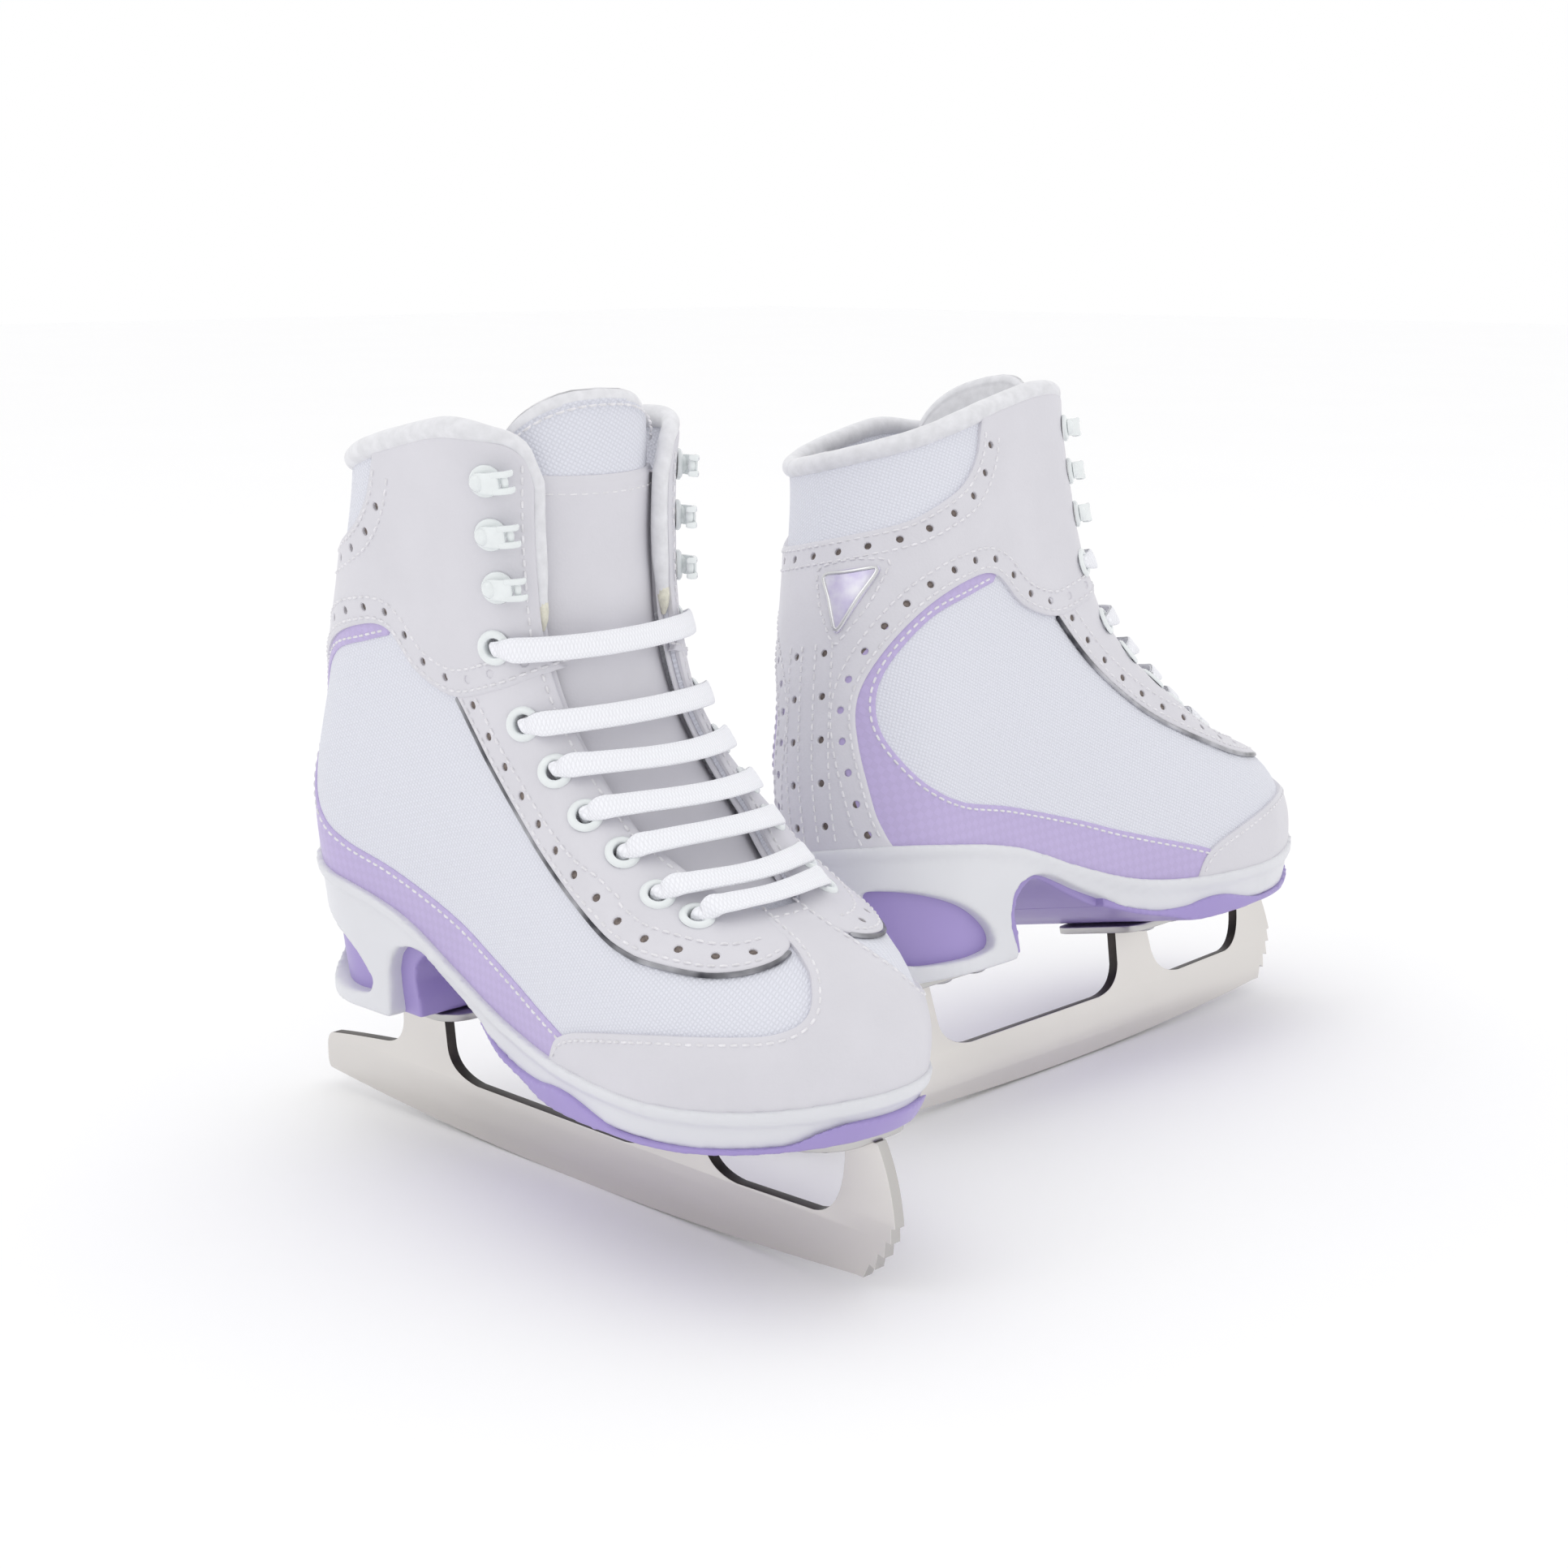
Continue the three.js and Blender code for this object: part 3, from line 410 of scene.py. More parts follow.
def half_width(x, z):
    cuff = cuff_share(z)
    full = (plan_width(x) * (1 - cuff) + cuff_width(z) * cuff) * sole_taper(z)
    nose = 1 - np.clip((front_line(z) - x) / nose_round(z), 0, 1)
    heel = 1 - np.clip((x - heel_line(z)) / heel_round(z), 0, 1)
    return full * np.sqrt(1 - nose ** 2) * np.sqrt(1 - heel ** 2)


def boot_point(turn, z):
    turn, z = np.broadcast_arrays(np.asarray(turn, float), np.asarray(z, float))
    share = (1 - np.cos(np.pi * np.abs(turn))) / 2
    x = heel_line(z) + (front_line(z) - heel_line(z)) * share
    return np.stack([x, midline(x, z) + np.sign(turn) * half_width(x, z), z], -1)


def unit(v):
    return v / np.maximum(np.linalg.norm(v, axis=-1, keepdims=True), 1e-12)


def wrap(turn):
    return np.where(turn > 1, turn - 2, np.where(turn < -1, turn + 2, turn))


def boot_normal(turn, z):
    turn_step, z_step = 0.004, 0.4
    turn, z = np.asarray(turn, float), np.asarray(z)
    along = boot_point(wrap(turn + turn_step), z) - boot_point(wrap(turn - turn_step), z)
    up = boot_point(turn, z + z_step) - boot_point(turn, z - z_step)
    return unit(np.cross(up, along))


def turn_at(x, z):
    share = np.clip((x - heel_line(z)) / (front_line(z) - heel_line(z)), 0, 1)
    return np.arccos(1 - 2 * share) / np.pi


print("heel to toe at 84 mm:", (front_line(84) - heel_line(84)).round(1), "mm")

# %% [markdown]
# Patterns are drawn flat. The flat sheet has the turn times 170 across it and the
# height up it, so one unit is about a millimetre on the boot. The toe pieces use a
# second sheet whose middle is the front of the boot, so that nothing is cut there.
# Distances are always measured on the boot itself, not on the sheet.

# %% Flat sheet to boot, and steps measured on the boot
SPAN = 170.0            # width of the flat sheet for half way round
SETTLING_ROUNDS = 30


def turn_of(across, front=False):
    t = np.asarray(across, float) / SPAN
    if not front:
        return np.clip(t, -1, 1)
    return np.where(t < 0, -1, 1) * (1 - np.abs(t))


def on_boot(flat, height=0.0, front=False):
    flat = np.asarray(flat, float)
    turn = turn_of(flat[:, 0], front)
    normal = boot_normal(turn, flat[:, 1])
    return boot_point(turn, flat[:, 1]) + normal * np.reshape(height, (-1, 1))


def slopes(flat, front=False):
    e = 0.05
    across = (on_boot(flat + [e, 0], 0, front) - on_boot(flat - [e, 0], 0, front)) / (2 * e)
    up = (on_boot(flat + [0, e], 0, front) - on_boot(flat - [0, e], 0, front)) / (2 * e)
    return across, up


def flat_step(flat, move, front=False):
    """The step on the flat sheet that moves a point by a vector on the boot."""
    a, u = slopes(flat, front)
    aa, au, uu = (a * a).sum(-1), (a * u).sum(-1), (u * u).sum(-1)
    ma, mu = (a * move).sum(-1), (u * move).sum(-1)
    det = np.maximum(aa * uu - au * au, 1e-6)
    return np.stack([(ma * uu - mu * au) / det, (mu * aa - ma * au) / det], -1)


def beside(flat, distance, closed=False, front=False):
    """A path moved to its left on the flat sheet, by millimetres on the boot."""
    flat = np.asarray(flat, float)
    place = on_boot(flat, 0, front)
    if closed:
        tangent = np.roll(place, -1, 0) - np.roll(place, 1, 0)
    else:
        tangent = np.gradient(place, axis=0)
    a, u = slopes(flat, front)
    return flat + flat_step(flat, np.cross(unit(np.cross(a, u)), unit(tangent)) * distance, front)


def flow(points, gap=1.6, closed=False):
    """A smooth path through 2-D points, with a point every gap or so."""
    p = np.asarray(points, float)
    n = len(p)
    if closed:
        ends = np.vstack([p[-1], p, p[0], p[1]])
    else:
        ends = np.vstack([2 * p[0] - p[1], p, 2 * p[-1] - p[-2]])
    out = []
    for i in range(n if closed else n - 1):
        a, b, c, d = ends[i:i + 4]
        count = max(2, int(np.linalg.norm(c - b) / gap))
        t = np.linspace(0, 1, count, endpoint=False)[:, None]
        out.append(0.5 * (2 * b + (c - a) * t + (2 * a - 5 * b + 4 * c - d) * t ** 2
                          + (3 * b - a - 3 * c + d) * t ** 3))
    if not closed:
        out.append(p[-1:])
    return np.vstack(out)


def side_path(points, side, front=False):
    """Side-view points (x, z) laid on the flat sheet, on the outer (+1) or inner (-1) side."""
    p = np.asarray(points, float)
    turn = turn_at(p[:, 0], p[:, 1])
    return np.column_stack([side * SPAN * ((1 - turn) if front else turn), p[:, 1]])


def along_line(turns, line):
    """Flat points at these turns that lie on a side-view line z = line(x)."""
    turns = np.asarray(turns, float)
    z = np.full(turns.shape, float(line(0.0)))
    for _ in range(SETTLING_ROUNDS):
        z = 0.5 * z + 0.5 * line(boot_point(turns, z)[:, 0])
    return np.column_stack([turns * SPAN, z])


print("a 5 mm step at mid side moves", np.linalg.norm(
    beside(np.array([[80.0, 120.0], [82.0, 120.0]]), 5.0)[0] - [80, 120]).round(2), "on the sheet")

# %% [markdown]
# A weave has to run straight, so each point also gets its distance round the boot,
# measured from the middle of that side. It becomes the piece's UV.

# %% Distance round the boot
TURNS = np.linspace(0, 1, 161)
LEVELS = np.linspace(44, 252, 53)
MIDDLE = 80             # the turn's index at the middle of a side
rings = boot_point(TURNS[None, :], LEVELS[:, None])
steps = np.linalg.norm(np.diff(rings, axis=1), axis=2)
WALKED = np.concatenate([np.zeros((len(LEVELS), 1)), np.cumsum(steps, 1)], 1)
AROUND = WALKED - WALKED[:, [MIDDLE]] + rings[:, MIDDLE, 0:1]


def look_up(table, turn, z):
    t = np.clip(np.abs(turn), 0, 1) * (len(TURNS) - 1)
    k = np.clip((z - LEVELS[0]) / (LEVELS[1] - LEVELS[0]), 0, len(LEVELS) - 1.001)
    i, j = np.minimum(t.astype(int), len(TURNS) - 2), k.astype(int)
    f, g = t - i, k - j
    return ((table[j, i] * (1 - f) + table[j, i + 1] * f) * (1 - g)
            + (table[j + 1, i] * (1 - f) + table[j + 1, i + 1] * f) * g)


def boot_uv(turn, z):
    return np.column_stack([look_up(AROUND, turn, z), z]) / UV_UNIT


print("half way round the sole:", WALKED[10, -1].round(), "mm")
print("half way round the cuff:", WALKED[40, -1].round(), "mm")

# %% [markdown]
# ## Making pieces
# A piece is a list of points and faces in the skate's frame. The next cell turns one
# into two Blender objects, left and right, gives them their finish, hangs them on the body
# they ride on, and hides the CAD node they stand for.

# %% Turn points and faces into a left and a right piece
made = []


class Shape:
    """Points, faces, UVs and a finish number for each face, gathered from parts."""

    def __init__(self):
        self.points, self.faces, self.uvs, self.finish = [], [], [], []
        self.count = 0

    def add(self, points, faces, uv=None, finish=0):
        points = np.asarray(points, float).reshape(-1, 3)
        self.points.append(points)
        self.uvs.append(points[:, [0, 2]] / UV_UNIT if uv is None else np.asarray(uv, float))
        self.faces += [[self.count + i for i in f] for f in faces]
        self.finish += list(finish) if hasattr(finish, "__len__") else [finish] * len(faces)
        self.count += len(points)
        return self


def piece(name, shape, finishes, node=None, body="root", sharp=38):
    points, uv = np.vstack(shape.points), np.vstack(shape.uvs)
    for side in ("left", "right"):
        faces = shape.faces if side == "left" else [f[::-1] for f in shape.faces]
        mesh = bpy.data.meshes.new(f"{side}_{name}")
        mesh.from_pydata(to_row(points, side).tolist(), [], faces)
        layer = mesh.uv_layers.new(name="UVMap")
        corners = np.empty(len(mesh.loops), int)
        mesh.loops.foreach_get("vertex_index", corners)
        layer.data.foreach_set("uv", uv[corners].astype(np.float32).ravel())
        for finish in finishes:
            mesh.materials.append(finish)
        mesh.polygons.foreach_set("material_index", shape.finish)
        mesh.polygons.foreach_set("use_smooth", [True] * len(mesh.polygons))
        mesh.set_sharp_from_angle(angle=math.radians(sharp))
        mesh.update()
        thing = bpy.data.objects.new(f"{side}_{name}", mesh)
        bpy.context.scene.collection.objects.link(thing)
        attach(thing, body if body == "root" else f"{side}_{body}")
        if node:
            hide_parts(f"{side}_{node}")
    made.append(name)
    print(f"{name}: {len(points)} points, {len(shape.faces)} faces a side")


def grid_faces(rows, columns, closed_columns=False):
    """Quads between the rows of a grid of points, row by row."""
    last = columns if closed_columns else columns - 1
    return [(r * columns + c, r * columns + (c + 1) % columns,
             (r + 1) * columns + (c + 1) % columns, (r + 1) * columns + c)
            for r in range(rows - 1) for c in range(last)]


print("piece maker ready")

# %% [markdown]
# A sewn panel is a flat pattern with punched holes. Its outline is followed by two
# inner rings, so that the edge can roll over softly, and triangles fill the rest. The
# sheet is then laid on the boot, and copied below itself to give it thickness.

# %% Cut a panel and lay it on the boot
FIRST_RING, SECOND_RING = 0.4, 1.15     # millimetres in from the outline
CLEAR_SQUARED = 0.16    # grid points closer than this to a ring are left out
BATCH = 2000


def inside(points, outline):
    x, y = points[:, 0:1], points[:, 1:2]
    x0, y0 = outline[:, 0][None], outline[:, 1][None]
    x1, y1 = np.roll(x0, -1, 1), np.roll(y0, -1, 1)
    crosses = (y0 > y) != (y1 > y)
    at = x0 + (y - y0) * (x1 - x0) / np.where(y1 == y0, 1e-9, y1 - y0)
    return (crosses & (x < at)).sum(1) % 2 == 1


def circle_on_boot(center, radius, count, front=False):
    center = np.asarray(center, float)[None]
    turn = turn_of(center[:, 0], front)
    normal = boot_normal(turn, center[:, 1])[0]
    e1 = unit(np.cross(normal, [0, 0, 1.0]))
    e2 = np.cross(normal, e1)
    angle = 2 * np.pi * np.arange(count) / count
    move = radius * (np.cos(angle)[:, None] * e1 + np.sin(angle)[:, None] * e2)
    spot = np.repeat(center, count, 0)
    return spot + flat_step(spot, move, front)


def hole_sides(radius):
    return 10 if radius < 2 else 16


def panel(outline, height, base, step=3.0, holes=(), front=False, soften=0.45, relief=None,
          shape=None, finish=0):
    """A closed sheet between two heights above the boot, cut to a flat outline."""
    outline = np.asarray(outline, float)
    x, y = outline.T
    if (x * np.roll(y, -1) - np.roll(x, -1) * y).sum() < 0:
        outline = outline[::-1]
    flat_from = beside(outline, SECOND_RING, True, front)
    loops = [outline, beside(outline, FIRST_RING, True, front), flat_from]
    dips = [soften, soften * 0.25, 0.0]
    for center, radius in holes:
        for grow, dip in ((0, 0.35), (0.3, 0.08)):
            loops.append(circle_on_boot(center, radius + grow, hole_sides(radius), front))
            dips.append(dip)
    border = np.vstack(loops)
    low, high = outline.min(0), outline.max(0)
    rise = step * (0.5 if front else 1.0)
    xs, ys = np.arange(low[0], high[0], step), np.arange(low[1], high[1], rise)
    cells = np.stack(np.meshgrid(xs, ys), -1).reshape(-1, 2)
    cells = cells[inside(cells, flat_from)]
    keep = np.ones(len(cells), bool)
    for k in range(0, len(cells), BATCH):
        gap = np.abs(cells[k:k + BATCH, None] - border[None])
        near = (gap[..., 0] / step) ** 2 + (gap[..., 1] / rise) ** 2
        keep[k:k + BATCH] = (near > CLEAR_SQUARED).all(1)
    for center, radius in holes:
        keep &= np.linalg.norm(cells - center, axis=1) > radius * 1.2
    cells = cells[keep]
    flat = np.vstack([border, cells])
    drop = np.concatenate([np.full(len(loop), dip) for loop, dip in zip(loops, dips)]
                          + [np.zeros(len(cells))])
    edges, start = [], 0
    for loop in loops:
        n = len(loop)
        edges += [(start + i, start + (i + 1) % n) for i in range(n)]
        start += n
    out = delaunay_2d_cdt([Vector(p) for p in flat], edges, [], 0, 1e-4, True)
    spots = np.array([tuple(v) for v in out[0]])
    fall = np.array([drop[ids[0]] if ids else soften * 0.25 for ids in out[3]])
    tris = np.array(out[2])
    middle = spots[tris].mean(1)
    good = inside(middle, outline)
    for center, radius in holes:
        near = np.linalg.norm(middle - center, axis=1) < radius * 3
        loop = circle_on_boot(center, radius, hole_sides(radius), front)
        good[near] &= ~inside(middle[near], loop)
    tris = tris[good]
    used = np.unique(tris)
    remap = np.full(len(spots), -1)
    remap[used] = np.arange(len(used))
    spots, fall, tris = spots[used], fall[used], remap[tris]
    if not front:
        tris = tris[:, ::-1]
    lift = height - fall
    if relief is not None:
        lift = lift + relief(spots)
    top, under = on_boot(spots, lift, front), on_boot(spots, base, front)
    n = len(spots)
    seen = dict.fromkeys(e for a, b, c in tris for e in ((a, b), (b, c), (c, a)))
    rim = [(a, n + a, n + b, b) for (a, b) in seen if (b, a) not in seen]
    faces = [tuple(t) for t in tris] + [tuple(n + t[::-1]) for t in tris] + rim
    turn = turn_of(spots[:, 0], front)
    uv = boot_uv(turn, spots[:, 1])
    shape = shape or Shape()
    return shape.add(np.vstack([top, under]), faces, np.vstack([uv, uv]), finish)


print("panel cutter ready")

# %% [markdown]
# Stitches, piping and laces are swept along a path. A stitch is a short bead of thread
# whose two ends dive into the leather, so a row catches the light as a real one does.

# %% Stitches and swept cords
BEAD_RINGS, BEAD_SIDES = 5, 6


def resample(points, gap):
    points = np.asarray(points, float)
    walked_to = np.concatenate([[0], np.cumsum(np.linalg.norm(np.diff(points, axis=0), axis=1))])
    spots = np.linspace(0, walked_to[-1], max(2, int(round(walked_to[-1] / gap)) + 1))
    return np.column_stack([np.interp(spots, walked_to, points[:, k]) for k in range(points.shape[1])])


def stitch_row(shape, path, normals, pitch=3.3, length=2.6, radius=0.42, finish=0):
    """Beads of thread along a 3-D path that lies on the surface."""
    both = resample(np.hstack([path, normals * 1e-6]), pitch)
    place, normal = both[:, :3], unit(both[:, 3:])
    tangent = unit(np.gradient(place, axis=0))
    across = unit(np.cross(normal, tangent))
    along = np.array([-0.5, -0.36, 0, 0.36, 0.5]) * length
    thick = np.array([0.35, 0.85, 1.0, 0.85, 0.35]) * radius
    rise = np.array([-0.4, 0.0, 0.12, 0.0, -0.4]) * (radius / 0.42)
    angle = 2 * np.pi * np.arange(BEAD_SIDES) / BEAD_SIDES
    points = (place[:, None, None] + tangent[:, None, None] * along[None, :, None, None]
              + normal[:, None, None] * (rise[None, :, None, None]
                                         + (thick[:, None] * np.sin(angle))[None, ..., None])
              + across[:, None, None] * (thick[:, None] * np.cos(angle))[None, ..., None])
    size = BEAD_RINGS * BEAD_SIDES
    bead = grid_faces(BEAD_RINGS, BEAD_SIDES, True)
    bead += [tuple(range(BEAD_SIDES))[::-1], tuple(range(size - BEAD_SIDES, size))]
    faces = [tuple(s * size + i for i in f) for s in range(len(place)) for f in bead]
    shape.add(points.reshape(-1, 3), faces, None, finish)


def row_on_boot(shape, flat, height, front=False, **kind):
    turn = turn_of(flat[:, 0], front)
    stitch_row(shape, on_boot(flat, height, front), boot_normal(turn, flat[:, 1]), **kind)


def sweep(shape, path, wide, half_wide, half_thick, sides=12, square=2.0, finish=0,
          round_ends=True):
    """A rounded section swept along a path; wide is the direction of its width."""
    n = len(path)
    hw, ht = (np.broadcast_to(h, n).astype(float) for h in (half_wide, half_thick))
    tangent = unit(np.gradient(path, axis=0))
    wide = unit(wide - (wide * tangent).sum(-1, keepdims=True) * tangent)
    thick = np.cross(tangent, wide)
    walked_to = np.concatenate([[0], np.cumsum(np.linalg.norm(np.diff(path, axis=0), axis=1))])
    rows = [(i, 0.0, 1.0) for i in range(n)]
    if round_ends:
        cap = [(0.97, 0.25), (0.75, 0.66), (0.35, 0.94)]
        rows = [(0, -r, s) for s, r in cap[::-1]] + rows + [(n - 1, r, s) for s, r in cap]
    angle = 2 * np.pi * np.arange(sides) / sides
    c = np.sign(np.cos(angle)) * np.abs(np.cos(angle)) ** (2 / square)
    s = np.sign(np.sin(angle)) * np.abs(np.sin(angle)) ** (2 / square)
    points, uv = [], []
    for i, out, scale in rows:
        center = path[i] + tangent[i] * out * min(hw[i], ht[i])
        points.append(center + scale * (hw[i] * c[:, None] * wide[i] + ht[i] * s[:, None] * thick[i]))
        girth = (hw[i] + ht[i]) * 2
        uv.append(np.column_stack([np.full(sides, walked_to[i] + out),
                                   girth * angle / (2 * np.pi)]) / UV_UNIT)
    faces = grid_faces(len(rows), sides, True)
    faces += [tuple(range(sides))[::-1],
              tuple((len(rows) - 1) * sides + k for k in range(sides))]
    shape.add(np.vstack(points), faces, np.vstack(uv), finish)
    return shape


print("sweeps ready")

# %% [markdown]
# ## The throat
# The boot is open down the front. The opening is narrow over the toe and widens up the
# cuff. A table gives the turn at which each height meets the opening's edge.

# %% Edges of the throat and of the collar
SLOT_Z = [103.5, 106.5, 112.5, 125, 170, 260]
SLOT_HALF = [0.35, 12, 16, 22, 24.5, 25.5]
SLOT_LEVELS = np.arange(103.5, 246, 0.5)
RIM_FOOT = 186          # the collar's binding runs down the throat's edges to here
CORNER_Z = 228          # the throat's width at this height sets where the collar ends


def slot_table(side, extra=0.0):
    turns = np.linspace(0.3, 1, 700)
    found = []
    for z in SLOT_LEVELS:
        off = side * (boot_point(side * turns, z)[:, 1] - midline(0, z))
        first = off.argmax()
        found.append(np.interp(-(np.interp(z, SLOT_Z, SLOT_HALF) + extra), -off[first:], turns[first:]))
    return np.array(found)


SLOT_TURN = {1: slot_table(1), -1: slot_table(-1)}
CORNER = 10.0           # the cuff's front corners are rounded to about this


def throat_edge(side, z0, z1, gap=1.6):
    z = np.linspace(z0, z1, max(2, int(abs(z1 - z0) / gap)))
    return np.column_stack([side * SPAN * np.interp(z, SLOT_LEVELS, SLOT_TURN[side]), z])


def rim_path():
    """Up the outer edge of the throat, round the collar, and down the inner edge."""
    turn = {s: float(np.interp(CORNER_Z, SLOT_LEVELS, SLOT_TURN[s])) for s in (1, -1)}
    top = along_line(np.linspace(turn[1], -turn[-1], 130), wall_top)
    place = on_boot(top)
    for corner in (place[0].copy(), place[-1].copy()):
        d = np.linalg.norm(place - corner, axis=1)
        drop = CORNER - np.sqrt(np.maximum(0, CORNER ** 2 - np.maximum(0, CORNER - d) ** 2))
        top[:, 1] -= drop
    rise = throat_edge(1, RIM_FOOT, top[0, 1] - 0.5)
    fall = throat_edge(-1, top[-1, 1] - 0.5, RIM_FOOT)
    return rise, top, fall


RISE, TOP, FALL = rim_path()
print("collar rim from", TOP[:, 1].min().round(1), "to", TOP[:, 1].max().round(1), "mm high")

# %% [markdown]
# ## Pattern outlines
# All trim is drawn in side view, as on a pattern sheet, and the same line serves both
# sides. Panels that lie over each other overlap by a few millimetres, as sewn ones do.

# %% Pattern lines
EYELETS = [(-11.8, 175), (-3.3, 153.5), (7.7, 141), (19.2, 129.7), (31.4, 120.5),
           (44.7, 110.6), (56.5, 105.8)]
EYELET_HOLE = 3.1
HOOKS = [(-9.5, 222.8), (-10.2, 207.6), (-10, 192.5)]
TRIM_EDGE = [(-60, 175.5), (-75, 175), (-92, 168.5), (-106.5, 157.5), (-117, 143.5), (-122.5, 126),
             (-124, 108), (-122.8, 98), (-120.5, 91.5)]
BAND_INNER = [(22, 66), (14, 69.5), (-20, 81), (-40, 88.5), (-71, 98), (-95, 103.5),
              (-108, 110.5), (-115, 120.5), (-117, 132), (-113, 145), (-104, 156),
              (-90, 165.5), (-72, 170.5), (-61, 173.2)]
BAND_TUCKED = [(-58, 176.5), (-75, 178), (-94.5, 171), (-109.5, 159.5), (-120, 145),
               (-125.5, 126.5), (-127, 108), (-126, 98), (-123.7, 91.8)]
OVERLAY_LOW = [(-3, 166.5), (-12, 162.5), (-31, 158.5), (-48, 164)] + TRIM_EDGE
COLLAR_CURVE = [(-101, 195), (-90, 196.5), (-80, 200.5), (-69, 206.5), (-61, 215), (-57, 224),
                (-55, 229)]
EYESTAY_EDGE = [(-32, 161), (-19, 143), (-6, 129.5), (8, 118), (25, 108), (42, 100), (54, 97)]
CAP_SEAM = [(10, 55), (12, 60), (16.4, 66), (24, 69.8), (32.7, 72.2), (46, 75.2), (60, 78),
            (74, 79.8)]
# near the front a line is given by its turn and height instead
EYESTAY_TOE = [(0.785, 95.8), (0.815, 95.2), (0.85, 95.5), (0.89, 96.5), (0.925, 97.8),
               (0.95, 99.3), (0.966, 100.8)]
CAP_TAB = [(0.80, 80.7), (0.84, 81.5), (0.874, 83.4), (0.896, 86), (0.912, 89), (0.925, 91.8),
           (0.937, 94.3), (0.946, 97), (0.954, 99.5), (0.958, 102.3), (0.962, 105.2)]
UNDER_SOLE = 2.5        # panels run this far down behind the sole's edge


def sole_edge(x0, x1, side, gap=2.0):
    x = np.linspace(x0, x1, max(2, int(abs(x1 - x0) / gap)))
    return side_path(np.column_stack([x, feather_line(x) - UNDER_SOLE]), side)


def sole_edge_round(front):
    """The sole's edge from the outer to the inner side, round the toe or the heel."""
    start = 13.0 if front else -120.0
    turn = float(turn_at(start, feather_line(start)))
    turns = np.linspace(turn, 1, 60) if front else np.linspace(turn, 0, 20)
    outer = along_line(turns, lambda x: feather_line(x) - UNDER_SOLE)
    if front:
        outer[:, 0] = SPAN - outer[:, 0]
    inner = outer[::-1][1:] * [-1, 1]
    return np.vstack([outer, inner])


def eyelet_spots(side, places):
    return [(side_path([p], side)[0], EYELET_HOLE) for p in places]


print("set points:", sum(map(len, (TRIM_EDGE, BAND_INNER, EYESTAY_EDGE, CAP_SEAM))))

# %% [markdown]
# ## Boot cloth
# The body of the boot is one woven upper from the sole to the collar. Most of it is
# hidden by leather. It shows on the quarters and round the back of the collar.

# %% Boot cloth
THROAT_FOOT = 104
CLOTH_IN = -1.7         # the cloth's inner face


def down_front(side, count=30):
    return np.column_stack([np.full(count, side * SPAN), np.linspace(103.0, 63, count)])


eyelet_holes = eyelet_spots(1, EYELETS) + eyelet_spots(-1, EYELETS)
bottom = along_line(np.linspace(1, -1, 240), lambda x: feather_line(x) - UNDER_SOLE)
cloth_outline = np.vstack([
    bottom[1:-1], down_front(-1)[::-1], throat_edge(-1, THROAT_FOOT, RIM_FOOT), FALL[::-1][1:],
    TOP[::-1], RISE[::-1][:-1], throat_edge(1, RIM_FOOT, THROAT_FOOT), down_front(1)])
cloth = panel(cloth_outline, 0.0, CLOTH_IN, 3.4, eyelet_holes)
piece("boot_cloth", cloth, [canvas], "upper")

# %% [markdown]
# The fleece lining is a second, thicker wall inside the cloth. It stops short of the
# throat, where the tongue lies.

# %% Lining
LINING_BACK = 18.0      # how far it stops short of the throat's edge
LINING_OUT, LINING_IN = -1.9, -5.2
LINING_LIFT = 3.2       # its lower edge lies this far above the sole's top edge


def beside_throat(side, levels, back):
    """Points a little way back from the throat's edge, at these heights."""
    turns = np.interp(levels, SLOT_LEVELS, slot_table(side, back))
    return np.column_stack([side * SPAN * turns, levels])


lining_side = {s: beside_throat(s, np.linspace(120, 226, 50), LINING_BACK) for s in (1, -1)}
toe_turns = np.linspace(0.93, -0.93, 150)
lining_floor = along_line(toe_turns, lambda x: feather_line(x) + LINING_LIFT)
corners = [lining_side[s][-1, 0] for s in (1, -1)]
lining_top = along_line(np.linspace(*corners, 90) / SPAN, wall_top)
lining_outline = np.vstack([lining_floor, lining_side[-1], lining_top[::-1],
                            lining_side[1][::-1]])
lining = panel(lining_outline, LINING_OUT, LINING_IN, 4.5, soften=0.2)
piece("lining_fleece", lining, [fleece], "lining")

# %% [markdown]
# Along the throat the raw edges are faced on the inside with a strip of thin leather.
# It reaches a little further in than the outer leather, so the edge shows two layers.

# %% Throat facings
FACING_OUT, FACING_BACK = 2.0, 17.0
facings = Shape()
levels = np.linspace(109, 222, 60)
for side in (1, -1):
    near, far = (beside_throat(side, levels, back) for back in (-FACING_OUT, FACING_BACK))
    panel(np.vstack([near, far[::-1]]), -1.8, -2.7, 3.0, eyelet_spots(side, EYELETS[:6]),
          shape=facings)
piece("throat_facings", facings, [leather])

# %% [markdown]
# ## Leather
# The ankle overlay wraps the heel and both sides of the cuff in one piece. Punched
# holes run between two rows of stitching along its edges. A little relief makes the
# leather settle round each eyelet and hook.

# %% Relief, stitched and punched edges
stitching, shade_disc_shape = Shape(), Shape()
# heights of the leathers' faces above the cloth
OVERLAY_TOP, EYESTAY_TOP, CAP_TOP, BAND_TOP = 1.75, 1.25, 1.6, 0.75
UNDER = -0.2            # and of their backs, just inside the cloth
HOLE_RADIUS, HOLE_GAP = 1.25, 10.5
EDGE_INSET, ROW_GAP = 1.9, 6.4          # first row of stitching, and from it to the second
HOLE_INSET = 5.1


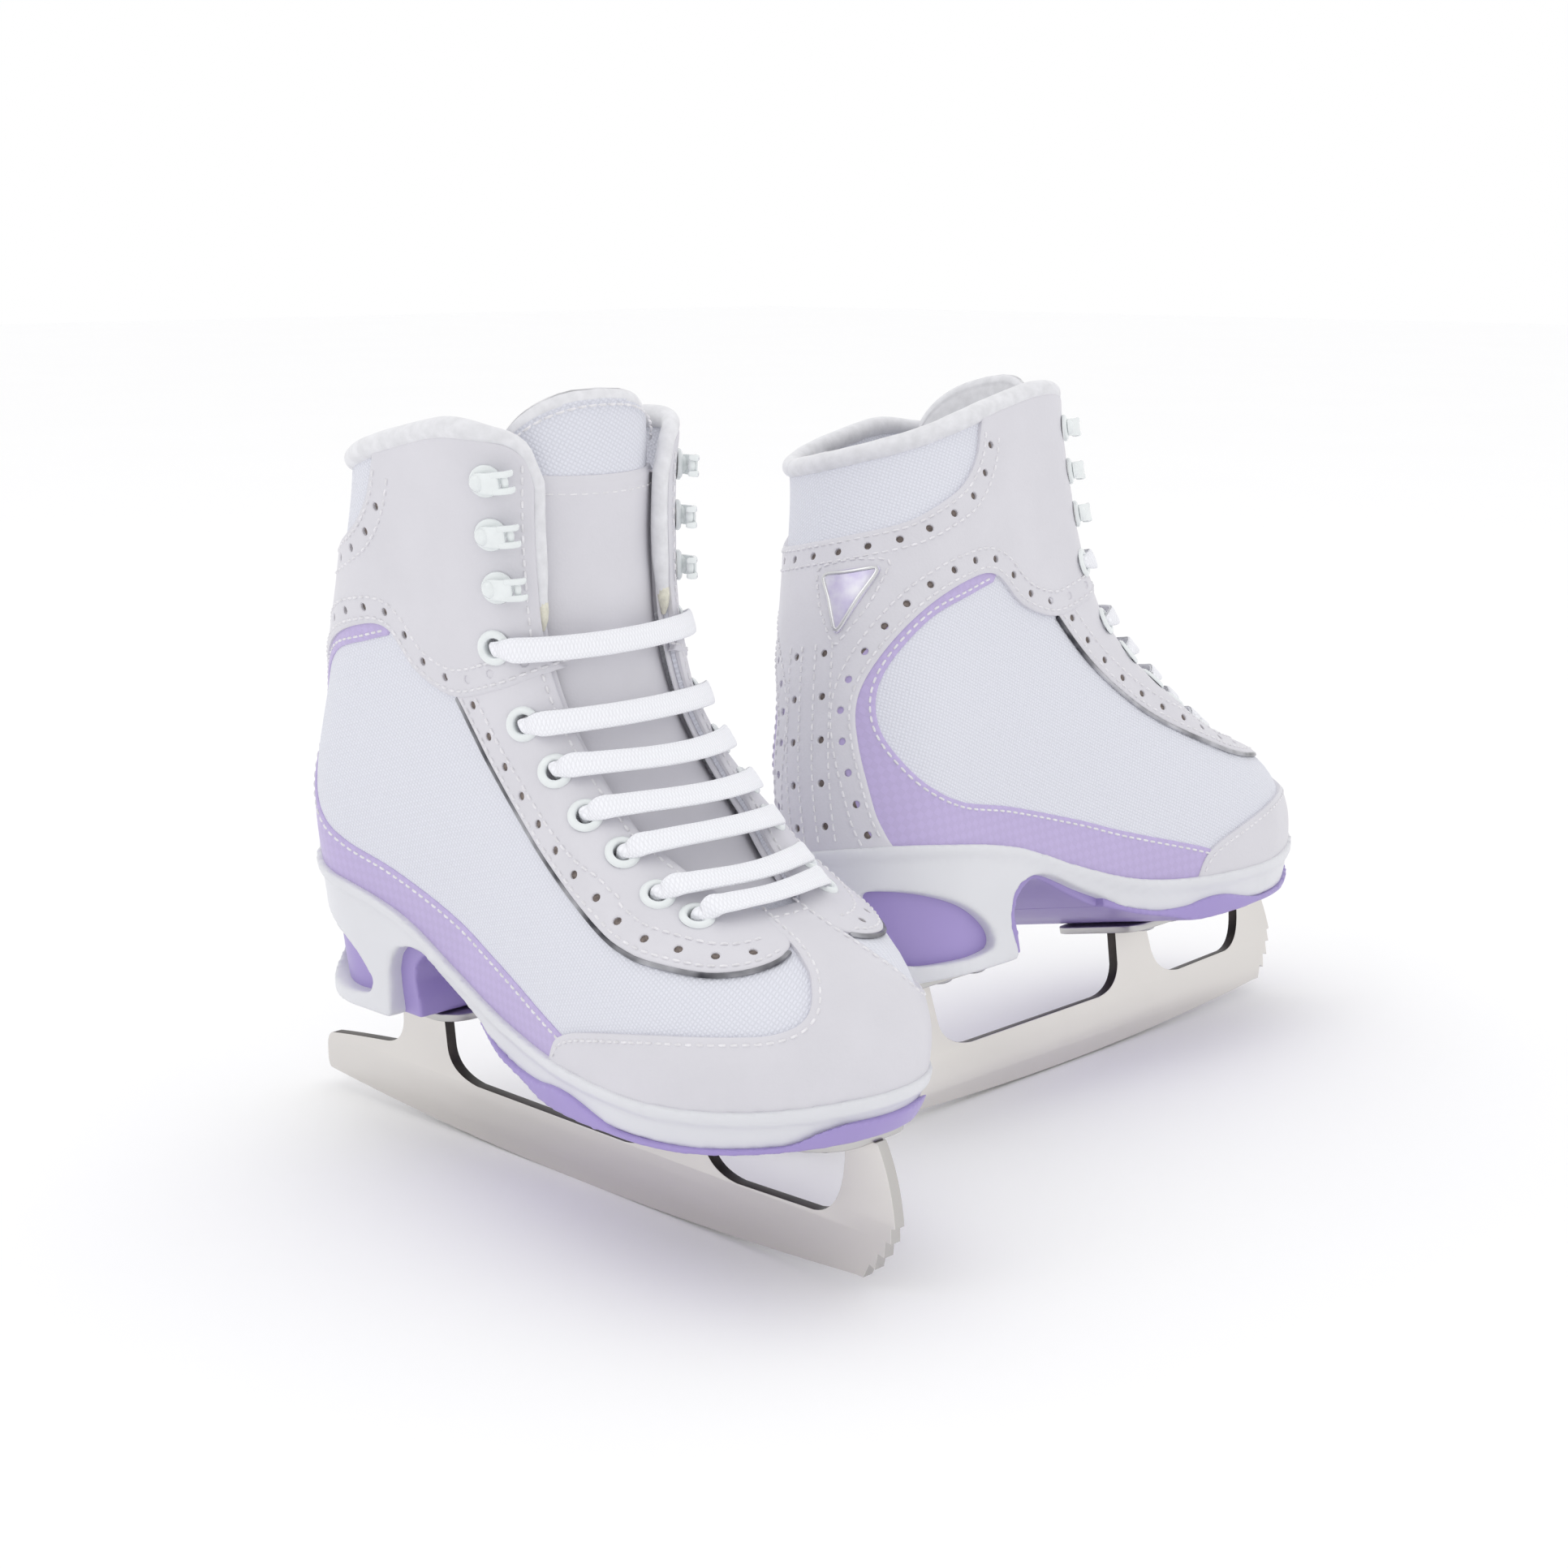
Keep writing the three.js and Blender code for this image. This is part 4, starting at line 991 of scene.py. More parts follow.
def settle(spots):
    """The leather sinks a little where metal pulls it down, and is never quite even."""
    place = on_boot(spots)
    dip = np.zeros(len(spots))
    for side in (1, -1):
        for x, z in EYELETS + HOOKS:
            center = on_boot(side_path([(x, z)], side))[0]
            d = np.linalg.norm(place - center, axis=1)
            dip -= 0.5 * np.exp(-(d / 6.5) ** 2)
    x, y, z = place.T
    return dip + 0.12 * (np.sin(x * 0.11 + z * 0.07) * np.sin(z * 0.13 + y * 0.05))


def punched(path, inset, skip=4.0):
    """Places for a row of punched holes beside a path."""
    row = beside(path, inset)
    place = on_boot(row)
    walked_to = np.concatenate([[0], np.cumsum(np.linalg.norm(np.diff(place, axis=0), axis=1))])
    spots = np.arange(skip, walked_to[-1] - skip, HOLE_GAP)
    return [(np.array([np.interp(s, walked_to, row[:, 0]), np.interp(s, walked_to, row[:, 1])]),
             HOLE_RADIUS) for s in spots]


def shade_each_hole(holes, height, thick=0.3, sides=10):
    """A small dark disc below each hole, a little wider than it, painted to stand for the shade inside
    the hole.
    """
    for center, radius in holes:
        loop = circle_on_boot(center, radius * 1.15, sides)
        rim = [(i, i + sides, (i + 1) % sides + sides, (i + 1) % sides) for i in range(sides)]
        shade_disc_shape.add(np.vstack([on_boot(loop, height), on_boot(loop, height - thick)]),
                       [tuple(range(sides)), tuple(range(sides, 2 * sides))[::-1]] + rim)


def double_row(path, inset, height, sign=1):
    for distance in (inset, inset + ROW_GAP):
        row_on_boot(stitching, beside(path, sign * distance), height)


print("edge helpers ready")

# %% [markdown]
# The overlay could be two halves with a back seam, but one piece is stronger and gives
# the heel its smooth round. Two columns of holes run up the back of it. Its outline goes
# up the throat, over the collar's woven panel, and down again to the sole.

# %% Ankle overlay
OVERLAY_FOOT = 171.5    # it meets the eyestays at this height of the throat
CURVE_BACK = 195.0      # the woven panel's lowest height, at the back
BACK_HOLES, BACK_ROWS = 6.2, (3.0, 9.4)     # distances from the middle of the back
low_line = {s: side_path(flow([(4, 171.0)] + OVERLAY_LOW), s) for s in (1, -1)}
curve_line = {s: side_path(flow(COLLAR_CURVE), s) for s in (1, -1)}
curve_ends = [curve_line[s][0, 0] for s in (1, -1)]
curve_round = np.column_stack([np.linspace(*curve_ends, 24), np.full(24, CURVE_BACK)])
in_front = on_boot(TOP)[:, 0] > -54.5
front_top = {s: TOP[(np.sign(TOP[:, 0]) == s) & in_front] for s in (1, -1)}
overlay_outline = np.vstack([
    throat_edge(1, OVERLAY_FOOT, RIM_FOOT), RISE[1:], front_top[1], curve_line[1][::-1],
    curve_round[1:-1], curve_line[-1], front_top[-1], FALL[:-1],
    throat_edge(-1, RIM_FOOT, OVERLAY_FOOT), low_line[-1][2:],
    sole_edge_round(False)[::-1][1:-1], low_line[1][::-1][:-2]])
# the inside of the panel lies to the right of one side's line, and to the left of the other
low_holes = punched(low_line[1], -HOLE_INSET) + punched(low_line[-1], HOLE_INSET)
collar_path = np.vstack([curve_line[1][::-1], curve_round[1:-1], curve_line[-1]])
collar_holes = punched(collar_path, HOLE_INSET, skip=9)


def turn_after(distance, z):
    """The turn that lies a distance round the boot from the middle of the back."""
    near_back = 0.12
    reach = look_up(WALKED, np.full(np.shape(z), near_back), np.asarray(z, float))
    return distance / np.maximum(reach / near_back, 1)


def back_column(side, distance, z0, z1, gap=1.6):
    z = np.linspace(z0, z1, max(2, int(abs(z1 - z0) / gap)))
    return np.column_stack([side * SPAN * turn_after(distance, z), z])


column_holes = [(spot, HOLE_RADIUS) for side in (1, -1)
                for spot in back_column(side, BACK_HOLES, 103, 158, HOLE_GAP)]
leather_holes = low_holes + collar_holes + column_holes
top_eyelets = eyelet_spots(1, EYELETS[:1]) + eyelet_spots(-1, EYELETS[:1])
overlay = panel(overlay_outline, OVERLAY_TOP, UNDER, 3.0, leather_holes + top_eyelets,
                relief=settle)
piece("ankle_leather", overlay, [leather], "ankle_overlay")
shade_each_hole(leather_holes, 0.55)
for side in (1, -1):
    double_row(low_line[side][2:-5], EDGE_INSET, OVERLAY_TOP, -side)
    for distance in BACK_ROWS:
        row_on_boot(stitching, back_column(side, distance, 99, 160), OVERLAY_TOP)
    row_on_boot(stitching, beside(throat_edge(side, 173, 226), side * 3.4), OVERLAY_TOP)
double_row(collar_path[4:-4], EDGE_INSET, OVERLAY_TOP)

# %% [markdown]
# The eyestays carry the eyelets down both sides of the throat, and a bright piping is
# caught under their outer edge.

# %% Eyestays and piping
PIPING_OUT, PIPING_HEIGHT = 0.55, 0.55
for side, where in ((1, "outer"), (-1, "inner")):
    toe_end = [(side * SPAN * turn, z) for turn, z in EYESTAY_TOE]
    edge = flow(np.vstack([side_path(flow(EYESTAY_EDGE, 6), side), toe_end]), 1.6)
    outline = np.vstack([edge, [(side * SPAN * 0.978, 102.6)], throat_edge(side, 104.2, 176),
                         side_path([(-16, 171), (-34, 165)], side)])
    shown = edge[3:][np.abs(edge[3:, 0]) < 0.93 * SPAN]
    holes = punched(shown, side * HOLE_INSET, skip=3)
    stay = panel(outline, EYESTAY_TOP, UNDER, 3.0, holes + eyelet_spots(side, EYELETS[1:]),
                 relief=settle)
    piece(f"eyestay_{where}_leather", stay, [leather], f"eyestay_{where}")
    shade_each_hole(holes, 0.4)
    double_row(shown, EDGE_INSET, EYESTAY_TOP, side)
    row_on_boot(stitching, beside(throat_edge(side, 112, 170), side * 2.6), EYESTAY_TOP)
    trim = Shape()
    bead = beside(edge[2:][np.abs(edge[2:, 0]) < 0.95 * SPAN], -side * PIPING_OUT)
    normal = boot_normal(turn_of(bead[:, 0]), bead[:, 1])
    sweep(trim, on_boot(bead, PIPING_HEIGHT), normal, 0.75, 0.85, 8)
    piece(f"piping_{where}", trim, [piping])

# %% [markdown]
# The lilac band starts behind the toe cap, sweeps back along the sole and up round the
# heel, and ends in a point on the ankle. The toe cap is leather, and its tab reaches
# up to the foot of the throat.

# %% Lilac bands and the toe cap
for side, where in ((1, "outer"), (-1, "inner")):
    upper_edge = side_path(flow(BAND_INNER), side)
    tucked = side_path(flow(BAND_TUCKED), side)
    outline = np.vstack([upper_edge, tucked, sole_edge(-122.5, 21, side)])
    band = panel(outline, BAND_TOP, UNDER, 3.0)
    piece(f"band_{where}_trim", band, [lilac], f"band_{where}")
    row_on_boot(stitching, beside(upper_edge[4:-2], side * 1.7), BAND_TOP)


def cap_line(side):
    first = side_path(CAP_SEAM, 1, True)
    second = [(SPAN * (1 - turn), z) for turn, z in CAP_TAB]
    return flow(np.vstack([first, second]), 1.2) * [side, 1]


seam = {s: cap_line(s) for s in (1, -1)}
tab_ends = [seam[s][-1, 0] for s in (1, -1)]
tab = np.column_stack([np.linspace(*tab_ends, 14), np.full(14, CAP_TAB[-1][1])])
cap_outline = np.vstack([seam[1], tab[1:-1], seam[-1][::-1], sole_edge_round(True)[::-1][1:-1]])
cap = panel(cap_outline, CAP_TOP, UNDER, 3.0, front=True, relief=settle)
piece("toe_cap_leather", cap, [leather], "toe_cap")
for side in (1, -1):
    row_on_boot(stitching, beside(seam[side][6:], side * 2.0, False, True), CAP_TOP, True)
row_on_boot(stitching, tab[2:-2] + [0, -1.6], CAP_TOP, True)

# %% [markdown]
# A small stitched badge sits high at the back of the outer side. It is left blank: a
# plain pearl field inside a raised rim.

# %% Blank badge
# distance round the boot from the middle of the back, and height
BADGE_CORNERS = np.array([(3.0, 184), (25, 183.5), (10.5, 162)])
ROUNDED = 0.13          # share of a side that a round corner takes


def badge_loop(grow):
    """A three-cornered loop with round corners, grown outwards by millimetres."""
    points = []
    for i in range(3):
        before, here, after = (BADGE_CORNERS[k % 3] for k in (i - 1, i, i + 1))
        for t in (0.0, 0.25, 0.5, 0.75, 1.0):
            a, b = here + (before - here) * ROUNDED, here + (after - here) * ROUNDED
            points.append((1 - t) ** 2 * a + 2 * t * (1 - t) * here + t * t * b)
    points = resample(np.vstack([points, points[:1]]), 1.2)[:-1]
    points = points + unit(points - BADGE_CORNERS.mean(0)) * grow
    return np.column_stack([SPAN * turn_after(points[:, 0], points[:, 1]), points[:, 1]])


badge = panel(badge_loop(0), OVERLAY_TOP + 0.9, OVERLAY_TOP - 0.6, 2.0)
loop = badge_loop(-1.0)
closed = np.vstack([loop, loop[:2]])
sweep(badge, on_boot(closed, OVERLAY_TOP + 0.85),
      boot_normal(turn_of(closed[:, 0]), closed[:, 1]), 0.5, 0.7, 8, finish=1, round_ends=False)
piece("blank_badge", badge, [pearl, screw_steel])
closed = badge_loop(3.2)
row_on_boot(stitching, np.vstack([closed, closed[:1]]), OVERLAY_TOP)
piece("stitching", stitching, [thread])
# dark discs in the punched holes: painted shade, not a layer of the boot
piece("painted_hole_shade", shade_disc_shape, [hole_shade_finish])

# %% [markdown]
# ## Collar
# A padded fleece roll finishes the collar. It turns the front corners and runs down
# both edges of the throat as a thinner binding, as far as the lowest hook, where a
# little raw foam shows.

# %% Collar roll and binding
RIM_GAP = 2.2
BINDING_RADIUS, ROLL_EXTRA = 2.25, 1.15     # the throat's binding, and what the collar adds
FOAM_TIP = [(0, 0, 1.0), (0.4, 0, -1.2), (0.6, 0, -3.6), (0.4, 0, -6.2)]
rim = resample(np.vstack([RISE, TOP[2:-2], FALL]), RIM_GAP)
rim_place = on_boot(rim, -1.0)
rim_normal = boot_normal(turn_of(rim[:, 0]), rim[:, 1])
count = np.arange(len(rim))
back_share = smooth((2 - on_boot(rim)[:, 0]) / 22)
to_end = np.minimum(count, count[::-1]) * RIM_GAP
size = (BINDING_RADIUS + ROLL_EXTRA * back_share) * (0.75 + 0.25 * smooth(to_end / 12))
lumps = 1 + 0.012 * np.sin(count * 0.9) + 0.012 * np.sin(count * 0.37 + 1)
outwards = np.cross(rim_normal, unit(np.gradient(rim_place, axis=0)))
outwards *= np.sign(outwards[len(rim) // 2, 2])
rim_center = rim_place + outwards * (size * 0.55)[:, None]
roll = sweep(Shape(), rim_center, rim_normal, size * lumps * 1.02, size * lumps, 20)
for end in (rim_center[0], rim_center[-1]):
    sweep(roll, end + FOAM_TIP, np.tile([1.0, 0, 0], (4, 1)), np.array([2.0, 1.9, 1.5, 0.7]),
          np.array([1.9, 1.8, 1.3, 0.6]), 10, finish=1)
piece("collar_binding", roll, [fleece, foam], "collar_roll")

# %% [markdown]
# ## Tongue
# The tongue is a soft pad sewn in at the foot of the throat. Its face is canvas at the
# top, its back and its top edge are fleece, and a stitched leather patch covers the
# part under the lace. It rides on its own body, because it hinges forward.

# %% Tongue pad
TONGUE_ROOT, TONGUE_TOP = 101.5, 246.0
tongue_spread = through([(101, 0.05), (106, 0.075), (112, 0.09), (125, 0.12), (150, 0.155),
                         (175, 0.18), (205, 0.2), (230, 0.215), (246, 0.215)])  # height, turn
BINDING = 3.4           # width of the fleece edge at the top
DROP = 13.0             # the top edge falls this far from its middle to its corners


def tongue_face(across, z):
    free = smooth((z - 104) / 12)
    return -2.4 * (1 - free) + (-7.2 + 2.6 * (1 - across ** 2)) * free


def tongue_place(across, z, lift):
    turn = np.where(across < 0, -1, 1) * (1 - np.abs(across) * tongue_spread(z))
    distance = tongue_face(across, z) + lift
    return boot_point(turn, z) + boot_normal(turn, z) * distance[..., None]


def top_edge(across):
    return TONGUE_TOP - DROP * np.abs(across) ** 2.4


def pad(rows=120, columns=64):
    """A pillow on the tongue's face: rows up it, columns round its section."""
    share = (1 - np.cos(np.pi * np.linspace(0, 1, rows)))[:, None] / 2
    angle = 2 * np.pi * np.arange(columns) / columns
    a = np.broadcast_to(np.sign(np.cos(angle)) * np.abs(np.cos(angle)) ** 0.55, (rows, columns))
    swell = np.sign(np.sin(angle)) * np.abs(np.sin(angle)) ** 0.45
    z = TONGUE_ROOT + share * (top_edge(a) - TONGUE_ROOT)
    ends = np.clip(1 - (2 * share - 1) ** 12, 0.02, 1) ** 0.5
    thick = 3 + 3 * smooth((z - 104) / 14)
    bound = smooth((z - top_edge(a) + BINDING) / 0.8)
    puff = 0.55 * bound * ends + 0.25 * np.sin(z * 0.21) * (1 - a ** 2)
    points = tongue_place(a, z, thick / 2 * (swell * ends - 1) + puff * np.sign(swell))
    faces = grid_faces(rows, columns, True)
    first = [f[0] for f in faces]
    behind, on_side = swell[np.array(first) % columns] < 0, np.abs(a.flat[first]) > 0.985
    soft = behind | (bound.flat[first] > 0.5) | on_side
    faces += [tuple(range(columns))[::-1],
              tuple((rows - 1) * columns + k for k in range(columns))]
    uv = np.stack([a * 30, z], -1).reshape(-1, 2) / UV_UNIT
    return points.reshape(-1, 3), [f[::-1] for f in faces], uv, [int(k) for k in soft] + [1, 1]


tongue = Shape().add(*pad())
piece("tongue_pad", tongue, [canvas, fleece], "tongue", "tongue_body")

# %% [markdown]
# The patch is thinner leather laid on the pad. Its top edge is raw, with one row of
# stitching below it.

# %% Tongue patch and its stitching
PATCH_LOW, PATCH_HIGH, PATCH_HALF = 110.0, 222.0, 0.97
PATCH_CROWN = 1.2       # its top edge rises this much towards the corners


def slab(front, back):
    """A closed sheet between two grids of points; seen from the front, columns run right."""
    rows, columns = front.shape[:2]
    n, last = rows * columns, (rows - 1) * columns
    faces = grid_faces(rows, columns)
    up = [(r * columns, (r + 1) * columns) for r in range(rows - 1)]
    down = [(b + columns - 1, a + columns - 1) for a, b in up]
    foot = [(c + 1, c) for c in range(columns - 1)]
    head = [(last + c, last + c + 1) for c in range(columns - 1)]
    walls = [(b, n + b, n + a, a) for a, b in up + head + down + foot]
    points = np.vstack([front.reshape(-1, 3), back.reshape(-1, 3)])
    return points, faces + [tuple(n + i for i in f[::-1]) for f in faces] + walls


level, across = np.meshgrid(np.linspace(PATCH_LOW, PATCH_HIGH, 80),
                            np.linspace(-PATCH_HALF, PATCH_HALF, 41), indexing="ij")
to_edge = np.minimum((PATCH_HALF - np.abs(across)) / 0.05, (PATCH_HIGH - level) / 1.2)
rounding = np.clip(to_edge, 0, 1) ** 0.5
waves = 0.25 * np.sin(level * 0.21) * (1 - across ** 2)
crowned = level + PATCH_CROWN * across ** 2 * (level > 200)
patch_uv = np.stack([across * 28, level], -1).reshape(-1, 2) / UV_UNIT
patch = Shape().add(*slab(tongue_place(across, crowned, waves + 0.4 + 0.85 * rounding),
                          tongue_place(across, crowned, waves - 0.6)),
                    np.vstack([patch_uv, patch_uv]))
piece("tongue_patch", patch, [leather], "tongue_cover", "tongue_body")

tongue_stitches = Shape()
span = np.linspace(-0.93, 0.93, 60)
for line, lift in ((PATCH_HIGH - 5.0 + PATCH_CROWN * span ** 2, 1.2),
                   (top_edge(span) - BINDING - 0.8, 0.3)):
    place = tongue_place(span, line, np.full(60, lift))
    turn = np.where(span < 0, -1, 1) * (1 - np.abs(span) * tongue_spread(line))
    stitch_row(tongue_stitches, place, boot_normal(turn, line), pitch=3.6, length=2.9)
piece("tongue_stitching", tongue_stitches, [thread], None, "tongue_body")

# %% [markdown]
# ## Lace, eyelets and hooks
# One flat lace runs bar by bar through seven pairs of eyelets. It is squeezed where it
# passes through an eyelet and spreads flat over the throat.

# %% Lace
# places across a bar, as shares of the way from its middle to an eyelet
BAR = (-1.13, -1.06, -1.0, -0.94, -0.84, -0.68, -0.48, -0.24, 0,
       0.24, 0.48, 0.68, 0.84, 0.94, 1.0, 1.06, 1.13)


def facing(place, side, height):
    spot = side_path([place], side)
    return on_boot(spot, height)[0]


lace_path, lace_wide, lace_half, lace_thin = [], [], [], []


def lace_point(place, wide, half, thin):
    lace_path.append(place)
    lace_wide.append(wide)
    lace_half.append(half)
    lace_thin.append(thin)


for i, (x, z) in enumerate(EYELETS):
    start = -1 if i % 2 == 0 else 1
    reach = 1 - float(turn_at(x, z))
    before, after = EYELETS[max(0, i - 1)], EYELETS[min(6, i + 1)]
    for a in BAR:
        side = start if a < 0 else -start
        turn = side * (1 - min(abs(a), 1.0) * reach)
        up = unit(facing(before, side, 0) - facing(after, side, 0))
        over = smooth((1.0 - abs(a)) / 0.16)
        if abs(a) < 1:
            height = 1.2 + 3.2 * over + 1.2 * smooth((1 - abs(a)) / 0.5)
        elif abs(a) == 1:
            height = 1.6
        else:
            height = 1.2 - 6.8 * (abs(a) - 1.0) / 0.13
        place = boot_point(turn, z) + boot_normal(turn, z) * height
        place = place + up * 0.5 * math.sin(i * 2.1 + a * 2.5)
        lace_point(place, up, 2.1 + 1.5 * over, 1.25 - 0.35 * over)
everything = np.column_stack([lace_path, lace_wide, lace_half, lace_thin])
# all columns are smoothed together, with an even first column that sets the steps
steady = np.column_stack([np.arange(len(lace_path)) * 10.0, everything * 0.001])
fine = flow(steady, 2.0)[:, 1:] * 1000
lace = sweep(Shape(), fine[:, :3], fine[:, 3:6], fine[:, 6], fine[:, 7], 16, 2.6)
piece("flat_lace", lace, [cotton], "lace")

# %% [markdown]
# An eyelet is a turned ring with a rolled lip, pressed through the leather. It is one
# profile spun round the hole's axis.

# %% Eyelets
def spun(profile, center, axis, sides=28):
    """A closed ring from (radius, height) points, spun round an axis."""
    axis = unit(np.asarray(axis, float))
    e1 = unit(np.cross(axis, [0.3, 0.1, 1.0]))
    e2 = np.cross(axis, e1)
    angle = 2 * np.pi * np.arange(sides) / sides
    around = np.cos(angle)[:, None] * e1 + np.sin(angle)[:, None] * e2
    profile = np.asarray(profile, float)
    out, up = profile.T[:, :, None, None]
    points = center + out * around[None] + up * axis
    rows = [(r * sides, (r + 1) % len(profile) * sides) for r in range(len(profile))]
    faces = [(high + i, high + (i + 1) % sides, low + (i + 1) % sides, low + i)
             for low, high in rows for i in range(sides)]
    return points.reshape(-1, 3), faces


def facing_axis(place, side):
    spot = side_path([place], side)
    return boot_normal(turn_of(spot[:, 0]), spot[:, 1])[0]


LIP = [(2.75, -3.4), (2.75, 0.6), (3.0, 1.05), (3.6, 1.35), (4.3, 1.25), (4.9, 0.85),
       (5.15, 0.3), (5.0, 0.0), (3.2, -0.1), (3.15, -3.4)]
eyelets = Shape()
for side in (1, -1):
    for i, place in enumerate(EYELETS):
        level = (OVERLAY_TOP if i == 0 else EYESTAY_TOP) - 0.45
        eyelets.add(*spun(LIP, facing(place, side, level), facing_axis(place, side)))
piece("eyelets", eyelets, [enamel])

# %% [markdown]
# A lacing hook is stamped from sheet: a round foot held by a rivet, a waist, and a
# broad arm bent forward with a rolled lip at its end. Each part is a small closed
# form, and they are enamelled together.

# %% Lacing hooks
def bar(path, wide, half_wide, half_thick, sides, square=2.0):
    """One swept part, as points and faces."""
    form = sweep(Shape(), np.array(path, float), np.tile(wide, (len(path), 1)),
                 np.array(half_wide), np.array(half_thick), sides, square)
    return np.vstack(form.points), form.faces


def hook_parts():
    """Foot, rivet, neck, two prongs and the lip; x runs forward, z up from the leather."""
    up, forward, sideways = (0, 0, 1), (1.0, 0, 0), (0, 1.0, 0)
    foot = [(0.01, 1.5), (1.2, 1.45), (2.6, 1.3), (3.9, 1.05), (4.55, 0.6), (4.7, 0.1),
            (4.55, -0.5), (0.01, -0.5)]
    rivet = [(0.01, 3.6), (1.0, 3.5), (2.0, 3.0), (2.6, 2.2), (2.7, 1.2), (0.01, 1.1)]
    parts = [spun(foot, np.zeros(3), up, 32), spun(rivet, np.array([-1.6, 0, 0]), up, 28)]
    neck = [(-2.2, 0, 1.4), (-0.6, 0, 2.5), (0.8, 0, 3.5), (2.4, 0, 4.3), (4.4, 0, 4.75)]
    parts.append(bar(neck, sideways, [2.9, 3.0, 3.0, 3.1, 3.2], 0.62, 16, 4.0))
    for y in (-2.35, 2.35):
        prong = [(3.4, y, 4.7), (5.2, y, 4.9), (6.9, y, 4.9), (8.0, y, 4.5), (8.5, y, 3.6),
                 (8.4, y, 2.7)]
        parts.append(bar(prong, sideways, [0.9, 0.95, 0.95, 0.95, 0.9, 0.8], 0.65, 12, 3.0))
    lip = [(6.3, y, 3.3) for y in np.linspace(-2.2, 2.2, 5)]
    thick = [0.8, 1.0, 1.15, 1.0, 0.8]
    parts.append(bar(lip, forward, thick, thick, 14))
    return parts


parts = hook_parts()
for side, where in ((1, "outer"), (-1, "inner")):
    for i, place in enumerate(HOOKS):
        normal = facing_axis(place, side)
        forward = unit(np.array([1.0, 0, 0]) - normal[0] * normal)
        basis = np.stack([forward, np.cross(normal, forward), normal])
        seat = facing(place, side, OVERLAY_TOP + 0.15)
        hook = Shape()
        for points, faces in parts:
            hook.add(points @ basis + seat, faces)
        piece(f"hook_{where}_{i + 1}_enamel", hook, [enamel], f"hook_{where}_{i + 1}")

# %% [markdown]
# ## Sole
# The outsole is moulded rubber, so nothing on it is sharp. It is cut from a swollen
# last with solid tools, then its skin is remade in small even cells and relaxed. That
# rounds every edge at once, as a mould does.

# %% Solid tools
def applied(thing):
    """A new mesh of an object, with its modifiers applied."""
    ready = thing.evaluated_get(bpy.context.evaluated_depsgraph_get())
    return bpy.data.meshes.new_from_object(ready)


def outward(mesh, merge=0.0):
    """Turn a mesh's faces outward, and first merge points that lie closer than merge."""
    form = bmesh.new()
    form.from_mesh(mesh)
    if merge:
        bmesh.ops.remove_doubles(form, verts=form.verts, dist=merge)
    bmesh.ops.recalc_face_normals(form, faces=form.faces)
    form.to_mesh(mesh)
    form.free()


def read(mesh):
    """A mesh as points and faces."""
    points = np.empty(len(mesh.vertices) * 3)
    mesh.vertices.foreach_get("co", points)
    return points.reshape(-1, 3), [tuple(f.vertices) for f in mesh.polygons]


def loose_object(points, faces):
    mesh = bpy.data.meshes.new("tool")
    mesh.from_pydata([tuple(p) for p in points], [], faces)
    outward(mesh)
    thing = bpy.data.objects.new("tool", mesh)
    bpy.context.scene.collection.objects.link(thing)
    return thing


BEYOND = 80.0           # a distance past either side of the skate


def last_solid(distance, z0, z1, rows=26, around=150):
    """The last between two heights, swollen by a distance that may vary along it."""
    turn = np.linspace(-1, 1, around, endpoint=False)
    share = turn - np.sin(2 * np.pi * turn) / (2 * np.pi) * 0.5
    z, t = np.meshgrid(np.linspace(z0, z1, rows), share, indexing="ij")
    place = boot_point(t, z)
    grow = distance(place[..., 0], z) if callable(distance) else np.full(z.shape, distance)
    points = (place + boot_normal(t, z) * grow[..., None]).reshape(-1, 3)
    faces = grid_faces(rows, around, True)
    faces += [tuple(range(around)), tuple((rows - 1) * around + k for k in range(around))]
    return loose_object(points, faces)


def side_solid(outline, y0=-BEYOND, y1=BEYOND):
    """A side-view outline swept right across the skate."""
    outline = np.asarray(outline, float)
    n = len(outline)
    points = [(x, y, z) for y in (y0, y1) for x, z in outline]
    faces = [tuple(range(n)), tuple(range(2 * n - 1, n - 1, -1))]
    faces += [(i, (i + 1) % n, n + (i + 1) % n, n + i) for i in range(n)]
    return loose_object(points, faces)


def carve(body, tool, operation):
    change = body.modifiers.new("carve", "BOOLEAN")
    change.object, change.operation, change.solver = tool, operation, "EXACT"
    mesh = applied(body)
    body.modifiers.clear()
    body.data = mesh
    bpy.data.objects.remove(tool)


def moulded(body, cell, rounds):
    """The body with an even, relaxed skin, as points and faces."""
    remesh = body.modifiers.new("skin", "REMESH")
    remesh.mode, remesh.voxel_size = "VOXEL", cell
    relax = body.modifiers.new("relax", "SMOOTH")
    relax.factor, relax.iterations = 0.5, rounds
    mesh = applied(body)
    bpy.data.objects.remove(body)
    return read(mesh)


print("solid tools ready")

# %% [markdown]
# The outsole's side view is its outline from the heel's foot to the toe. Its top is cut
# along the line where the boot's cloth is drawn in, and a window is cut in each side of
# the heel.

# %% Outsole
HEEL_BASE, SOLE_BASE, TREAD = 48.0, 43.8, 3.4
WALL_DROP = 1.9         # the wall hangs this far over the tread, from the waist forward
SOLE_LOW = 46.3
sole_bottom = through([(-66, 74), (-58, 72.5), (-40, 63.5), (-20, 55), (-4, 50.5),
                       (8, SOLE_BASE + TREAD), (40, SOLE_BASE + TREAD),
                       (70, SOLE_BASE + TREAD + 0.8), (100, 52.5), (125, 58)])


def wall_foot(x):
    return float(sole_bottom(x)) - WALL_DROP * smooth((x + 34) / 12)


xs = np.linspace(-66, 124, 60)
outsole_side = ([(-140, HEEL_BASE), (-80, HEEL_BASE), (-78.5, 49.5), (-79, 56), (-79, 63),
                 (-77, 68.5), (-73, 72.5)]
                + [(x, wall_foot(x)) for x in xs] + [(124, 120), (-140, 120)])


